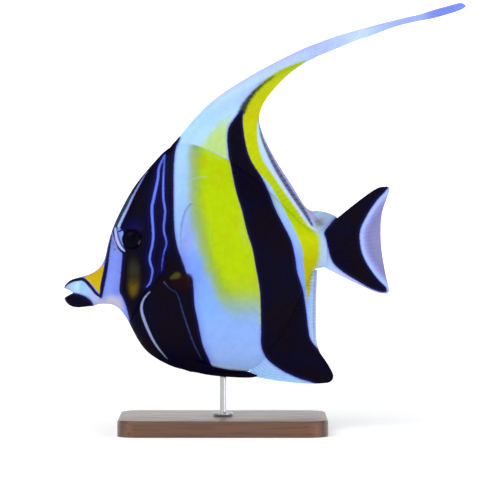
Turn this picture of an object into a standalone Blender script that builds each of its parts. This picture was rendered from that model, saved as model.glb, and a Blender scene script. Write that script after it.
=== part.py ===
"""A life-size moorish idol, a thin deep reef fish with a long trailing dorsal streamer, over a plain stand.

Sizes are in millimetres and become metres as each mesh is made. The fish faces -X, its left side faces -Y and
+Z is up. The origin lies on the table, under the middle of the model's box.
"""

import math

import bmesh
import bpy
import numpy as np
from mathutils import Matrix, Vector

MM = 0.001
GAP = 0.3  # what touching pieces keep between them
SIDES = ("left", "right")

# The body's side view: the back, the belly and the height of the greatest width, from snout to tail.
BACK = [
    (-100.6, 71.6), (-100.2, 73.0), (-98.5, 75.0), (-96.5, 76.3), (-92.5, 77.5), (-88.5, 78.6),
    (-84.5, 80.7), (-82.5, 82.6), (-80.6, 85.6), (-79.4, 89.5), (-78.5, 94.0), (-77.2, 98.6),
    (-75.2, 104.2), (-71.0, 113.0), (-67.5, 119.3), (-63.5, 125.3), (-59.5, 130.2), (-55.5, 134.8),
    (-51.5, 139.2), (-47.5, 142.3), (-43.5, 144.2), (-39.5, 144.6), (-35.0, 144.0), (-28.5, 141.6),
    (-19.5, 137.0), (-10.0, 131.0), (-1.5, 124.0), (7.5, 115.3), (15.0, 107.6), (21.0, 102.4),
    (26.5, 100.2), (31.0, 99.8),
]
BELLY = [
    (-100.6, 68.2), (-100.2, 66.2), (-98.5, 63.9), (-96.5, 62.7), (-93.5, 62.2), (-89.5, 62.6),
    (-86.0, 62.9), (-83.5, 63.8), (-80.5, 64.1), (-77.0, 63.8), (-74.0, 62.4), (-72.0, 60.6),
    (-70.0, 58.0), (-68.5, 55.6), (-66.0, 50.6), (-63.0, 45.2), (-59.5, 40.6), (-55.5, 37.4),
    (-51.5, 35.0), (-47.5, 33.1), (-43.5, 31.7), (-37.5, 30.5), (-30.0, 29.9), (-20.0, 29.6),
    (-10.0, 30.0), (-4.0, 32.4), (1.5, 38.0), (7.5, 46.5), (13.5, 57.5), (18.5, 68.5), (22.5, 77.5),
    (25.5, 81.6), (31.0, 82.5),
]
WIDEST = [
    (-100.6, 69.9), (-90.0, 71.2), (-83.0, 73.2), (-78.0, 77.5), (-72.0, 83.0), (-62.0, 85.5),
    (-42.0, 86.5), (-17.0, 87.5), (8.0, 89.5), (26.0, 91.4), (31.0, 91.5),
]
# Half the body's thickness. The lips swell a little at the front of the narrow snout.
HALF_WIDTH = [
    (-100.6, 1.2), (-100.0, 2.2), (-98.3, 3.2), (-96.5, 3.4), (-94.0, 3.0), (-90.0, 3.1),
    (-86.0, 3.5), (-82.0, 4.4), (-78.0, 5.6), (-74.0, 7.0), (-69.0, 8.6), (-63.0, 9.9),
    (-56.0, 11.1), (-48.0, 12.0), (-38.0, 12.5), (-28.0, 12.2), (-16.0, 11.0), (-4.0, 9.0),
    (8.0, 6.8), (18.0, 4.9), (26.0, 3.5), (31.0, 2.5),
]
# 1 gives an oval section. More gives a lens, with a sharper back and belly.
KEEL = [(-100.6, 1.0), (-84.0, 1.0), (-70.0, 1.15), (-45.0, 1.3), (0.0, 1.25), (20.0, 1.1), (31.0, 1.0)]
BODY_RINGS = 54
BODY_AROUND = 28
END_BULGE = 0.1
THINNEST = 0.3

# The lines in the side view that part the body.
MOUTH_LINE = [(-96.4, 69.7), (-92.0, 68.8), (-88.0, 66.8), (-85.6, 63.8), (-85.0, 59.0)]
UPPER_LIP = [(-104.0, 72.6), (-100.2, 72.0), (-98.0, 71.2)]
LOWER_LIP = [(-104.0, 66.4), (-100.2, 66.9), (-98.4, 68.0)]
JAW_LINE = [
    (-90.6, 86.0), (-89.8, 77.0), (-87.4, 74.3), (-85.1, 71.2), (-83.2, 68.0), (-82.3, 64.0), (-82.0, 59.0),
]
GILL_LINE = [
    (-51.6, 146.0), (-50.8, 133.5), (-50.2, 116.0), (-49.6, 98.5), (-49.2, 88.0), (-50.4, 81.0),
    (-54.5, 75.5), (-59.5, 71.0), (-63.0, 65.0), (-66.0, 58.0), (-68.4, 52.0), (-70.0, 47.0),
]
GILL_COVER_FRONT = [
    (-66.4, 62.5), (-66.8, 66.5), (-64.4, 73.0), (-62.0, 80.0), (-61.0, 88.0), (-60.6, 97.0),
    (-59.6, 104.5), (-56.5, 109.5), (-52.6, 109.0), (-50.4, 103.0),
]
GILL_COVER_THICK = 1.5
GILL_COVER_PROUD = 0.35
POCKET_OPENS = 4  # the pocket under a gill cover runs out through the gill line
GILL_DEPTHS = (2.0, 40.0)  # how far from the middle the gill cutters start and end
STALK_LINE = 22.5
# Corners outside the body that close the cutter of each region.
HEAD_CORNERS = [(-75.0, 40.0), (-90.6, 150.0)]
TRUNK_CORNERS = [(-70.0, 20.0), (STALK_LINE, 20.0), (STALK_LINE, 160.0), (-51.0, 160.0)]
STALK_LOW, STALK_HIGH = (40.0, 70.0), (40.0, 110.0)
CUTTER_REACH = 40.0

EYE_PLACE = (-66.2, 96.4)
EYE_RADIUS = 5.1
EYE_HALF_DEPTH = 3.4
EYE_PROUD = 1.5
NOSTRILS = [((-76.1, 94.4), 0.75), ((-74.9, 91.6), 0.6)]
NOSTRIL_DEPTH = 0.9
# The bony ridge in front of each eye, from the brow down to its point, each with its radius.
HORN_PATH = [
    ((-74.6, 102.6), 0.5), ((-74.2, 99.6), 0.9), ((-73.4, 96.4), 1.2), ((-71.9, 93.2), 1.1),
    ((-69.6, 90.4), 0.4),
]
HORN_PROUD = 0.5

# Fin outlines in the side view.
DORSAL_FRONT = [
    (-49.5, 140.0), (-46.5, 144.8), (-43.4, 148.3), (-39.5, 152.6), (-35.5, 156.7), (-27.5, 164.4),
    (-19.5, 170.5), (-11.5, 175.5), (-3.5, 180.2), (4.5, 184.5), (12.5, 188.5), (20.5, 192.2), (26.0, 194.3),
]
DORSAL_MARGIN = [
    (26.0, 194.3), (26.1, 192.0), (26.0, 189.6), (25.3, 187.2), (20.5, 184.8), (12.5, 179.3), (4.8, 171.7),
    (-1.1, 163.5), (-2.9, 155.5), (0.4, 145.5), (6.4, 134.4), (14.3, 122.0), (19.6, 113.4), (23.4, 110.5),
    (28.0, 110.3), (32.5, 109.2), (36.0, 107.4), (35.2, 105.4), (32.6, 104.2), (29.4, 103.6),
]
DORSAL_BASE_SINK = 4.0
LOBE_FOOT = (24.0, 97.6)
LOBE_OUT = 5.0  # how far the free lobe at the fin's foot bends to the fish's right
LOBE_SPAN = (20.0, 33.0)  # where in x the lobe's bend comes in
LOBE_LOW, LOBE_HIGH = (99.5, 106.5), (110.0, 118.0)  # where in z the bend comes in and fades out
STREAMER_UPPER = [
    (26.4, 194.5), (36.5, 198.1), (52.5, 202.7), (68.5, 207.0),
    (84.5, 211.3), (92.5, 213.5), (97.6, 214.7), (99.8, 214.3),
]
STREAMER_LOWER = [
    (26.4, 187.4), (36.5, 191.5), (52.5, 197.3), (68.5, 202.6),
    (84.5, 207.0), (92.5, 209.4), (97.6, 211.0), (100.8, 212.8),
]
STREAMER_DRIFT = 7.0  # how far the tip trails to the fish's right
DRIFT_SPAN, DRIFT_HEIGHT = (5.0, 101.0), (150.0, 190.0)  # where in x and in z the drift comes in
DRIFT_POWER = 1.5
STREAMER_CUTS = [0.0, 0.3, 0.64, 1.0]
STREAMER_GAP = 0.004  # the gap between two lengths, as a share of the whole
STREAMER_CORE = 0.5
STREAMER_TAPER = 0.8
STREAMER_NAMES = ["dorsal_streamer_root", "dorsal_streamer_middle", "dorsal_streamer_tip"]
ANAL_FRONT = [
    (-11.0, 34.5), (-5.5, 28.2), (-1.5, 26.9), (8.5, 25.3), (17.5, 24.3), (26.0, 23.7), (31.2, 24.0),
]
ANAL_MARGIN = [
    (31.2, 24.0), (34.0, 26.6), (33.7, 30.2), (30.6, 35.2), (27.3, 40.2), (25.8, 46.0), (25.5, 54.0),
    (25.6, 66.0), (26.0, 76.0), (26.3, 81.2),
]
ANAL_BASE_SINK = 4.0
TAIL_UPPER = [(26.5, 99.0), (31.0, 102.8), (37.5, 108.1), (47.5, 116.0), (56.0, 121.8), (61.2, 122.8)]
TAIL_MARGIN = [
    (61.2, 122.8), (62.3, 120.8), (58.7, 110.0), (57.9, 100.0), (58.5, 90.0), (60.7, 77.5), (62.3, 71.0),
    (61.2, 69.0),
]
TAIL_LOWER = [(26.5, 84.2), (32.5, 80.8), (40.0, 77.0), (48.5, 72.9), (56.0, 69.7), (61.2, 69.0)]
TAIL_BEND = 3.0  # how far the fan bends to the fish's right
TAIL_BEND_SPAN = (32.0, 62.0)
PECTORAL_LEADING = [
    (-39.8, 77.2), (-41.0, 84.0), (-42.3, 93.0), (-42.3, 103.0), (-40.3, 110.5), (-37.6, 114.6),
]
PECTORAL_MARGIN = [
    (-37.6, 114.6), (-33.0, 113.6), (-28.8, 108.6), (-26.3, 100.0), (-26.2, 90.5), (-28.6, 82.0),
    (-33.4, 75.0),
]
PECTORAL_TRAILING = [(-38.6, 72.6), (-36.2, 73.4), (-33.4, 75.0)]
PECTORAL_FLARE = 9.0  # how far the fin's edge stands off the flank
FLARE_POWER = 1.3
PELVIC_UPPER = [(-43.0, 36.6), (-36.0, 35.8), (-27.0, 33.0), (-18.0, 31.0), (-9.0, 30.0), (-4.0, 28.6)]
PELVIC_LOWER = [(-43.4, 32.8), (-35.5, 30.1), (-27.0, 28.4), (-17.0, 27.5), (-8.0, 27.2), (-4.0, 27.8)]
PELVIC_STAND_OFF = 2.5
PAIRED_SINK = 1.6  # how far the roots of the paired fins lie under the skin
PECTORAL_OUT, PELVIC_OUT, PELVIC_CLEAR = 0.15, 0.3, 0.4  # shares of a ray by which the fin leaves the skin

# Thickness of the free membrane, and what a ray or a spine adds to it.
MEMBRANE = 0.55
RAY_RIDGE = 0.4
SPINE_RIDGE = 0.9
RAY_TAPER = 0.55
# Each fin's rays, rows of facets along them, thickness at its root, share of a ray within the thick root, and
# whether the first ray is a spine.
FINS = {
    "dorsal": (34, 10, 1.8, 0.3, True),
    "anal": (28, 8, 1.8, 0.3, True),
    "tail": (20, 7, 2.0, 0.45, False),
    "pectoral": (13, 6, 3.0, 0.28, False),
    "pelvic": (6, 7, 2.0, 0.35, True),
}
STREAMER_RAYS = 3
STREAMER_ROWS = 8

BASE_SIZE = (104.0, 72.0, 8.0)
BASE_CORNER = 10.0
BASE_EDGE = 1.0
CORNER_SEGMENTS, EDGE_SEGMENTS = 6, 2
ROD_PLACE = -21.0
ROD_RADIUS = 1.6
ROD_TOP = 31.5
FLANGE_RADIUS = 5.0
FLANGE_HEIGHT = 1.4
ROD_FACETS = 24

COLOURS = {
    "black": ((0.012, 0.010, 0.020), 0.35, 0.0),
    "pale": ((0.45, 0.60, 0.92), 0.40, 0.0),
    "yellow": ((0.60, 0.66, 0.02), 0.40, 0.0),
    "eye": ((0.010, 0.010, 0.020), 0.08, 0.0),
    "wood": ((0.10, 0.05, 0.025), 0.45, 0.0),
    "steel": ((0.60, 0.60, 0.62), 0.25, 1.0),
}


def clear_scene():
    for obj in list(bpy.data.objects):
        bpy.data.objects.remove(obj, do_unlink=True)


def new_collection(name):
    collection = bpy.data.collections.new(name)
    bpy.context.scene.collection.children.link(collection)
    return collection


def material(name):
    """The named finish as a Principled material, made once."""
    found = bpy.data.materials.get(name)
    if found:
        return found
    colour, roughness, metallic = COLOURS[name]
    made = bpy.data.materials.new(name)
    made.use_nodes = True
    shader = made.node_tree.nodes["Principled BSDF"]
    shader.inputs["Base Color"].default_value = (*colour, 1.0)
    shader.inputs["Roughness"].default_value = roughness
    shader.inputs["Metallic"].default_value = metallic
    made.diffuse_color = (*colour, 1.0)
    return made


def add_object(name, bm, collection, finish=None):
    """A new object from a bmesh in millimetres."""
    bmesh.ops.recalc_face_normals(bm, faces=bm.faces)
    if bm.calc_volume(signed=True) < 0:
        bmesh.ops.reverse_faces(bm, faces=bm.faces)
    bmesh.ops.scale(bm, vec=Vector((MM, MM, MM)), verts=bm.verts)
    mesh = bpy.data.meshes.new(name)
    bm.to_mesh(mesh)
    bm.free()
    obj = bpy.data.objects.new(name, mesh)
    collection.objects.link(obj)
    if finish:
        mesh.materials.append(material(finish))
    else:
        obj.hide_render = True
        obj.display_type = "WIRE"
    return obj


def profile(knots):
    """A smooth curve through the knots that never overshoots them, as a function of their first number."""
    x, z = np.array(knots, float).T
    step = np.diff(x)
    slope = np.diff(z) / step
    same_way = slope[:-1] * slope[1:] > 0
    total = np.where(same_way, slope[:-1] + slope[1:], 1.0)
    inner = np.where(same_way, 2 * slope[:-1] * slope[1:] / total, 0.0)
    tangent = np.concatenate([slope[:1], inner, slope[-1:]])

    def at(place):
        place = np.clip(place, x[0], x[-1])
        i = np.clip(np.searchsorted(x, place, side="right") - 1, 0, len(step) - 1)
        t = (place - x[i]) / step[i]
        rise = (3 - 2 * t) * t * t
        lean = (t - 1) * t * step[i]
        return z[i] + rise * (z[i + 1] - z[i]) + lean * ((t - 1) * tangent[i] + t * tangent[i + 1])

    return at


def ease(value, start, end):
    """0 at start, 1 at end, and smooth between them."""
    t = min(1.0, max(0.0, (value - start) / (end - start)))
    return t * t * (3 - 2 * t)


def line(points):
    """A smooth line through the points, as a function of the share of its length."""
    points = np.array(points, float)
    ends = np.vstack([2 * points[0] - points[1], points, 2 * points[-1] - points[-2]])
    t = np.linspace(0, 1, 12, endpoint=False)[:, None]
    stretches = []
    for a, b, c, d in zip(ends, ends[1:], ends[2:], ends[3:]):
        cubic = 3 * (b - c) + d - a
        stretches.append(b + 0.5 * t * (c - a + t * (2 * a - 5 * b + 4 * c - d + t * cubic)))
    path = np.vstack(stretches + [points[-1:]])
    run = np.concatenate([[0.0], np.cumsum(np.linalg.norm(np.diff(path, axis=0), axis=1))])

    def at(share):
        return np.array([np.interp(share * run[-1], run, path[:, k]) for k in range(path.shape[1])])

    return at


back, belly, widest = profile(BACK), profile(BELLY), profile(WIDEST)
half_width, keel = profile(HALF_WIDTH), profile(KEEL)


def flank(x, z):
    """Half the body's thickness at a point of its side view."""
    middle = widest(x)
    reach = back(x) - middle if z > middle else middle - belly(x)
    height = min(1.0, abs(z - middle) / reach)
    return float(half_width(x) * (1 - height * height) ** (keel(x) / 2))


def ring_places():
    """Where the body's rings stand: in even steps along the back's outline."""
    x = np.linspace(BACK[0][0], BACK[-1][0], 2000)
    run = np.concatenate([[0.0], np.cumsum(np.hypot(np.diff(x), np.diff(back(x))))])
    return np.interp(np.linspace(0, run[-1], BODY_RINGS - 1), run, x)


def body(name, collection, margin=0.0, finish=None):
    """The whole body, grown by margin: a sphere with poles at snout and tail, each ring set to a section."""
    bm = bmesh.new()
    bmesh.ops.create_uvsphere(bm, u_segments=BODY_AROUND, v_segments=BODY_RINGS, radius=1)
    places = ring_places()
    longer = max(margin, 0.0)
    for vert in bm.verts:
        ring = round(math.acos(max(-1.0, min(1.0, vert.co.z))) * BODY_RINGS / math.pi)
        if ring in (0, BODY_RINGS):
            x = BACK[0][0] - longer - END_BULGE if ring == 0 else BACK[-1][0] + longer + END_BULGE
            vert.co = (x, 0.0, widest(x))
            continue
        x = places[ring - 1]
        angle = math.atan2(vert.co.y, vert.co.x)
        across, up = math.sin(angle), math.cos(angle)
        middle = widest(x)
        reach = max(THINNEST, (back(x) - middle if up > 0 else middle - belly(x)) + margin)
        width = max(THINNEST, half_width(x) + margin) * abs(across) ** keel(x)
        ends = {1: -longer, BODY_RINGS - 1: longer}
        vert.co = (x + ends.get(ring, 0.0), math.copysign(width, across), middle + reach * up)
    return add_object(name, bm, collection, finish)


def slab(name, outline, collection, low=-CUTTER_REACH, high=CUTTER_REACH):
    """A cutter: an outline in the side view, carried across the body from low to high."""
    bm = bmesh.new()
    face = bm.faces.new([bm.verts.new((x, low, z)) for x, z in outline])
    made = bmesh.ops.extrude_face_region(bm, geom=[face])
    moved = [part for part in made["geom"] if isinstance(part, bmesh.types.BMVert)]
    bmesh.ops.translate(bm, vec=Vector((0, high - low, 0)), verts=moved)
    return add_object(name, bm, collection)


def cut(obj, other, operation="DIFFERENCE"):
    """Adds a Boolean of the two objects."""
    modifier = obj.modifiers.new(f"{operation.lower()} {other.name}", "BOOLEAN")
    modifier.operation = operation
    modifier.object = other
    modifier.solver = "EXACT"


def smooth_points(points, count):
    at = line(points)
    return [tuple(at(share)) for share in np.linspace(0, 1, count)]


def beside(points, distance):
    """The line moved sideways, to its left as it runs."""
    points = np.array(points, float)
    ahead = np.gradient(points, axis=0)
    ahead /= np.linalg.norm(ahead, axis=1)[:, None]
    moved = points + distance * np.column_stack([-ahead[:, 1], ahead[:, 0]])
    return [tuple(point) for point in moved]


def side_sign(side):
    return -1 if side == "left" else 1


def gill_outline(grown):
    """The gill cover in the side view, grown on every side. Its rear edge stands ahead of the gill line."""
    low, high = GILL_COVER_FRONT[0][1], GILL_COVER_FRONT[-1][1]
    gill = beside(smooth_points(GILL_LINE, 60), -GAP / 2)
    rear = [(x + grown * POCKET_OPENS, z) for x, z in gill if low - grown < z < high + grown]
    front = beside(smooth_points(GILL_COVER_FRONT, 20), grown)
    return front + rear


def eye(name, side, collection, grown=0.0, finish=None):
    """A flattened ball set in the side of the head."""
    x, z = EYE_PLACE
    depth = EYE_HALF_DEPTH + grown
    bm = bmesh.new()
    bmesh.ops.create_uvsphere(bm, u_segments=18, v_segments=10, radius=EYE_RADIUS + grown)
    bmesh.ops.rotate(bm, matrix=Matrix.Rotation(math.pi / 2, 3, "X"), verts=bm.verts)
    bmesh.ops.scale(bm, vec=Vector((1, depth / (EYE_RADIUS + grown), 1)), verts=bm.verts)
    centre = flank(x, z) + EYE_PROUD - EYE_HALF_DEPTH
    bmesh.ops.translate(bm, vec=Vector((x, side_sign(side) * centre, z)), verts=bm.verts)
    return add_object(name, bm, collection, finish)


def horn(name, side, collection, grown=0.0, finish=None):
    """The tapered bony ridge in front of the eye, half sunk in the head."""
    curve = bpy.data.curves.new(name, "CURVE")
    curve.dimensions = "3D"
    curve.bevel_depth = MM
    curve.bevel_resolution = 2
    curve.resolution_u = 3
    curve.use_fill_caps = True
    spline = curve.splines.new("NURBS")
    spline.points.add(len(HORN_PATH) - 1)
    spline.use_endpoint_u = True
    spline.order_u = 4
    for point, ((x, z), radius) in zip(spline.points, HORN_PATH):
        y = side_sign(side) * (flank(x, z) + HORN_PROUD)
        point.co = (x * MM, y * MM, z * MM, 1)
        point.radius = radius + grown
    holder = bpy.data.objects.new(name + "_curve", curve)
    collection.objects.link(holder)
    bpy.context.view_layer.update()
    bm = bmesh.new()
    bm.from_mesh(holder.evaluated_get(bpy.context.evaluated_depsgraph_get()).to_mesh())
    bpy.data.objects.remove(holder, do_unlink=True)
    bmesh.ops.remove_doubles(bm, verts=bm.verts, dist=1e-6)
    bmesh.ops.scale(bm, vec=Vector((1 / MM, 1 / MM, 1 / MM)), verts=bm.verts)
    return add_object(name, bm, collection, finish)


def nostril(name, side, place, radius, collection):
    """A cutter for one small round nostril."""
    x, z = place
    bm = bmesh.new()
    bmesh.ops.create_uvsphere(bm, u_segments=10, v_segments=6, radius=radius)
    centre = flank(x, z) + radius / 2 - NOSTRIL_DEPTH / 2
    bmesh.ops.translate(bm, vec=Vector((x, side_sign(side) * centre, z)), verts=bm.verts)
    return add_object(name, bm, collection)


def patch(base, margin, first, last):
    """A point function over a fin: base to margin along v, and its first ray to its last along u."""
    base, margin, first, last = (line(points) for points in (base, margin, first, last))

    def at(u, v):
        ruled = (1 - v) * base(u) + v * margin(u) + (1 - u) * first(v) + u * last(v)
        corners = (1 - u) * ((1 - v) * base(0) + v * margin(0)) + u * ((1 - v) * base(1) + v * margin(1))
        return ruled - corners

    return at


def fin(name, place, rays, rows, thickness, finish, collection):
    """A membrane whose rays are ridges in both faces. place(u, v) gives a point in space, u across the rays
    and v along them, and thickness(u, v, crest) its thickness, crest being 1 on a ray and 0 between two."""
    bm = bmesh.new()
    bmesh.ops.create_grid(bm, x_segments=2 * rays, y_segments=rows, size=0.5)
    weights = bm.verts.layers.deform.verify()
    bmesh.ops.triangulate(bm, faces=bm.faces, quad_method="FIXED")
    placed = {}
    for vert in bm.verts:
        u, v = vert.co.x + 0.5, vert.co.y + 0.5
        crest = round(u * 2 * rays) % 2
        placed[vert] = place(u, v), thickness(u, v, crest)
    most = max(thick for _, thick in placed.values())
    for vert, (point, thick) in placed.items():
        vert.co = point
        vert[weights][0] = thick / most
    obj = add_object(name, bm, collection, finish)
    obj.vertex_groups.new(name="thickness")
    solid = obj.modifiers.new("both faces", "SOLIDIFY")
    solid.thickness = most * MM
    solid.offset = 0
    solid.vertex_group = "thickness"
    solid.thickness_vertex_group = 0
    solid.use_rim = True
    return obj


def blade(kind):
    """The thickness of this kind of fin: thick at the root, thin at the edge, with ridges for its rays."""
    rays, _, root, root_end, spine = FINS[kind]

    def at(u, v, crest):
        sheet = MEMBRANE + (root - MEMBRANE) * ease(v, root_end, 0.0)
        ridge = crest * RAY_RIDGE
        lead = SPINE_RIDGE * spine * max(0.0, 1 - u * rays)
        return sheet + (ridge + lead) * (1 - RAY_TAPER * v)

    return at


def rays_of(kind):
    """What fin() needs for this kind: the number of rays and rows, and the thickness."""
    rays, rows = FINS[kind][:2]
    return rays, rows, blade(kind)


def in_side_view(shape, sway):
    """Places a side-view patch in space, with sway giving how far each point trails across."""

    def at(u, v):
        x, z = shape(u, v)
        return x, sway(x, z, u, v), z

    return at


def build_flesh(parts, cutters):
    """The jaws, head, trunk, tail stalk and gill covers, all cut from the one body."""
    mouth = smooth_points(MOUTH_LINE, 12)
    jaw = smooth_points(JAW_LINE, 14)
    gill = smooth_points(GILL_LINE, 30)
    half = GAP / 2
    front = UPPER_LIP[0][0]
    stalk = STALK_LINE + GAP
    regions = {
        "upper_jaw": [(front, jaw[0][1])] + UPPER_LIP + beside(mouth, half) + beside(jaw[::-1], half),
        "lower_jaw": [(front, mouth[-1][1])] + LOWER_LIP + beside(mouth, -half),
        "head": beside(jaw, half) + HEAD_CORNERS[:1] + beside(gill[::-1], half) + HEAD_CORNERS[1:],
        "trunk": beside(gill, half) + TRUNK_CORNERS,
        "tail_stalk": [(stalk, STALK_LOW[1]), STALK_LOW, STALK_HIGH, (stalk, STALK_HIGH[1])],
    }
    finishes = {"upper_jaw": "pale", "tail_stalk": "yellow", "trunk": "yellow"}
    made = {}
    for name, outline in regions.items():
        made[name] = body(name, parts, finish=finishes.get(name, "black"))
        cut(made[name], slab(name + "_region", outline, cutters), "INTERSECT")
    under_cover = body("under_gill_cover", cutters, -GILL_COVER_THICK)
    under_pocket = body("under_gill_pocket", cutters, -GILL_COVER_THICK - GAP)
    for side in SIDES:
        low, high = sorted(side_sign(side) * depth for depth in GILL_DEPTHS)
        cover = body("gill_cover_" + side, parts, GILL_COVER_PROUD, "black")
        cut(cover, slab("gill_region_" + side, gill_outline(0.0), cutters, low, high), "INTERSECT")
        cut(cover, under_cover)
        pocket = slab("gill_pocket_" + side, gill_outline(GAP), cutters, low, high)
        cut(pocket, under_pocket)
        cut(made["head"], pocket)
    return made


def build_face(head, parts, cutters):
    """The eyes, the ridges in front of them and the nostrils."""
    for side in SIDES:
        eye("eye_" + side, side, parts, finish="eye")
        cut(head, eye("eye_socket_" + side, side, cutters, GAP))
        horn("horn_" + side, side, parts, finish="pale")
        cut(head, horn("horn_socket_" + side, side, cutters, GAP))
        for index, (place, radius) in enumerate(NOSTRILS):
            cut(head, nostril(f"nostril_{side}_{index}", side, place, radius, cutters))


def streamer_sway(x, z):
    """How far the dorsal fin's high, trailing end lies to the fish's right."""
    return STREAMER_DRIFT * ease(x, *DRIFT_SPAN) ** DRIFT_POWER * ease(z, *DRIFT_HEIGHT)


def dorsal_sway(x, z, u, v):
    """The fin stands straight, but for its streamer end and for the free lobe at its foot."""
    lobe = ease(x, *LOBE_SPAN) * ease(z, *LOBE_LOW) * (1 - ease(z, *LOBE_HIGH))
    return streamer_sway(x, z) + LOBE_OUT * lobe


def build_median_fins(parts, shell):
    """The dorsal fin with its streamer, the anal fin and the tail."""
    x = np.linspace(DORSAL_FRONT[0][0], LOBE_FOOT[0], 14)
    sunk = [(float(a), float(back(a)) - DORSAL_BASE_SINK) for a in x[1:-1]]
    dorsal_base = [DORSAL_FRONT[0]] + sunk + [LOBE_FOOT]
    shape = patch(dorsal_base, DORSAL_MARGIN, DORSAL_FRONT, [LOBE_FOOT, DORSAL_MARGIN[-1]])
    dorsal = fin("dorsal_fin", in_side_view(shape, dorsal_sway), *rays_of("dorsal"), "pale", parts)
    x = np.linspace(ANAL_FRONT[0][0], STALK_LINE - 0.5, 10)
    anal_base = [ANAL_FRONT[0]] + [(float(a), float(belly(a)) + ANAL_BASE_SINK) for a in x[1:]]
    shape = patch(anal_base, ANAL_MARGIN, ANAL_FRONT, [anal_base[-1], ANAL_MARGIN[-1]])
    still = in_side_view(shape, lambda x, z, u, v: 0.0)
    anal = fin("anal_fin", still, *rays_of("anal"), "black", parts)
    shape = patch([TAIL_UPPER[0], TAIL_LOWER[0]], TAIL_MARGIN, TAIL_UPPER, TAIL_LOWER)
    bent = in_side_view(shape, lambda x, z, u, v: TAIL_BEND * ease(x, *TAIL_BEND_SPAN))
    tail = fin("caudal_fin", bent, *rays_of("tail"), "black", parts)
    for obj in (dorsal, anal, tail):
        cut(obj, shell)


def build_streamer(parts):
    """The long trailing ray of the dorsal fin, in three lengths that meet end to end."""
    root, tip = [STREAMER_UPPER[0], STREAMER_LOWER[0]], [STREAMER_UPPER[-1], STREAMER_LOWER[-1]]
    shape = patch(root, tip, STREAMER_UPPER, STREAMER_LOWER)
    for name, low, high in zip(STREAMER_NAMES, STREAMER_CUTS, STREAMER_CUTS[1:]):
        start = low + (STREAMER_GAP if low else 0.0)

        def place(u, v):
            along = start + (high - start) * v
            x, z = shape(u, along)
            return x, streamer_sway(x, z), z

        def thickness(u, v, crest):
            along = start + (high - start) * v
            core = (1 - (2 * u - 1) ** 2) ** 0.5
            return MEMBRANE + (RAY_RIDGE * crest + STREAMER_CORE * core) * (1 - STREAMER_TAPER * along)

        fin(name, place, STREAMER_RAYS, STREAMER_ROWS, thickness, "pale", parts)


def build_paired_fins(parts, shell):
    """A pectoral and a pelvic fin on each side."""
    pectoral_root = [PECTORAL_LEADING[0], PECTORAL_TRAILING[0]]
    pectoral = patch(pectoral_root, PECTORAL_MARGIN, PECTORAL_LEADING, PECTORAL_TRAILING)
    pelvic_root, pelvic_tip = [PELVIC_UPPER[0], PELVIC_LOWER[0]], [PELVIC_UPPER[-1], PELVIC_LOWER[-1]]
    pelvic = patch(pelvic_root, pelvic_tip, PELVIC_UPPER, PELVIC_LOWER)
    for side in SIDES:
        sign = side_sign(side)

        def spread(x, z, u, v):
            sunk = PAIRED_SINK * ease(v, PECTORAL_OUT, 0.0)
            return sign * (flank(x, z) - sunk + PECTORAL_FLARE * v ** FLARE_POWER)

        def folded(x, z, u, v):
            sunk = PAIRED_SINK * ease(v, PELVIC_OUT, 0.0)
            return sign * (flank(x, z) - sunk + PELVIC_STAND_OFF * ease(v, 0.0, PELVIC_CLEAR))

        fans = (
            fin("pectoral_fin_" + side, in_side_view(pectoral, spread), *rays_of("pectoral"), "pale", parts),
            fin("pelvic_fin_" + side, in_side_view(pelvic, folded), *rays_of("pelvic"), "black", parts),
        )
        for obj in fans:
            cut(obj, shell)


def build_stand(parts, shell):
    """A flat base with rounded corners, and one rod that rises from its collar to the belly."""
    height = BASE_SIZE[2]
    bm = bmesh.new()
    bmesh.ops.create_cube(bm, size=1)
    bmesh.ops.scale(bm, vec=Vector(BASE_SIZE), verts=bm.verts)
    bmesh.ops.translate(bm, vec=Vector((ROD_PLACE, 0, height / 2)), verts=bm.verts)
    upright = [edge for edge in bm.edges if abs(edge.verts[0].co.z - edge.verts[1].co.z) > height / 2]
    rounded = {"profile": 0.5, "affect": "EDGES"}
    bmesh.ops.bevel(bm, geom=upright, offset=BASE_CORNER, segments=CORNER_SEGMENTS, **rounded)
    rim = [edge for edge in bm.edges if min(vert.co.z for vert in edge.verts) > height / 2]
    bmesh.ops.bevel(bm, geom=rim, offset=BASE_EDGE, segments=EDGE_SEGMENTS, **rounded)
    add_object("stand_base", bm, parts, "wood")
    foot = height + GAP
    step = foot + FLANGE_HEIGHT
    rings = [(foot, FLANGE_RADIUS), (step, FLANGE_RADIUS), (step, ROD_RADIUS), (ROD_TOP, ROD_RADIUS)]
    bm = bmesh.new()
    circles = []
    for z, radius in rings:
        place = Matrix.Translation((ROD_PLACE, 0, z))
        circles.append(bmesh.ops.create_circle(bm, segments=ROD_FACETS, radius=radius, matrix=place)["verts"])
    for lower, upper in zip(circles, circles[1:]):
        for k in range(ROD_FACETS):
            after = (k + 1) % ROD_FACETS
            bm.faces.new([lower[k], lower[after], upper[after], upper[k]])
    bm.faces.new(circles[0])
    bm.faces.new(circles[-1])
    cut(add_object("stand_rod", bm, parts, "steel"), shell)


def main():
    clear_scene()
    parts = new_collection("moorish_idol_fish")
    cutters = new_collection("cutters")
    shell = body("body_grown", cutters, GAP)
    flesh = build_flesh(parts, cutters)
    build_face(flesh["head"], parts, cutters)
    build_median_fins(parts, shell)
    build_streamer(parts)
    build_paired_fins(parts, shell)
    build_stand(parts, shell)


main()
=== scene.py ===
# %% [markdown]
# A moorish idol, life size, over a plain stand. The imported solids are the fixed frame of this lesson:
# they say how large everything is and where it sits. Here the fish gets its living surface, one skin
# over all the flesh, small scales on it and fine rayed fins, in the same metres and the same places.
#
# The view transform is set to Standard. The fish is known by pure yellow, black and pale blue, and the
# softer default would grey them.

# %% Load the frame
import math

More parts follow.
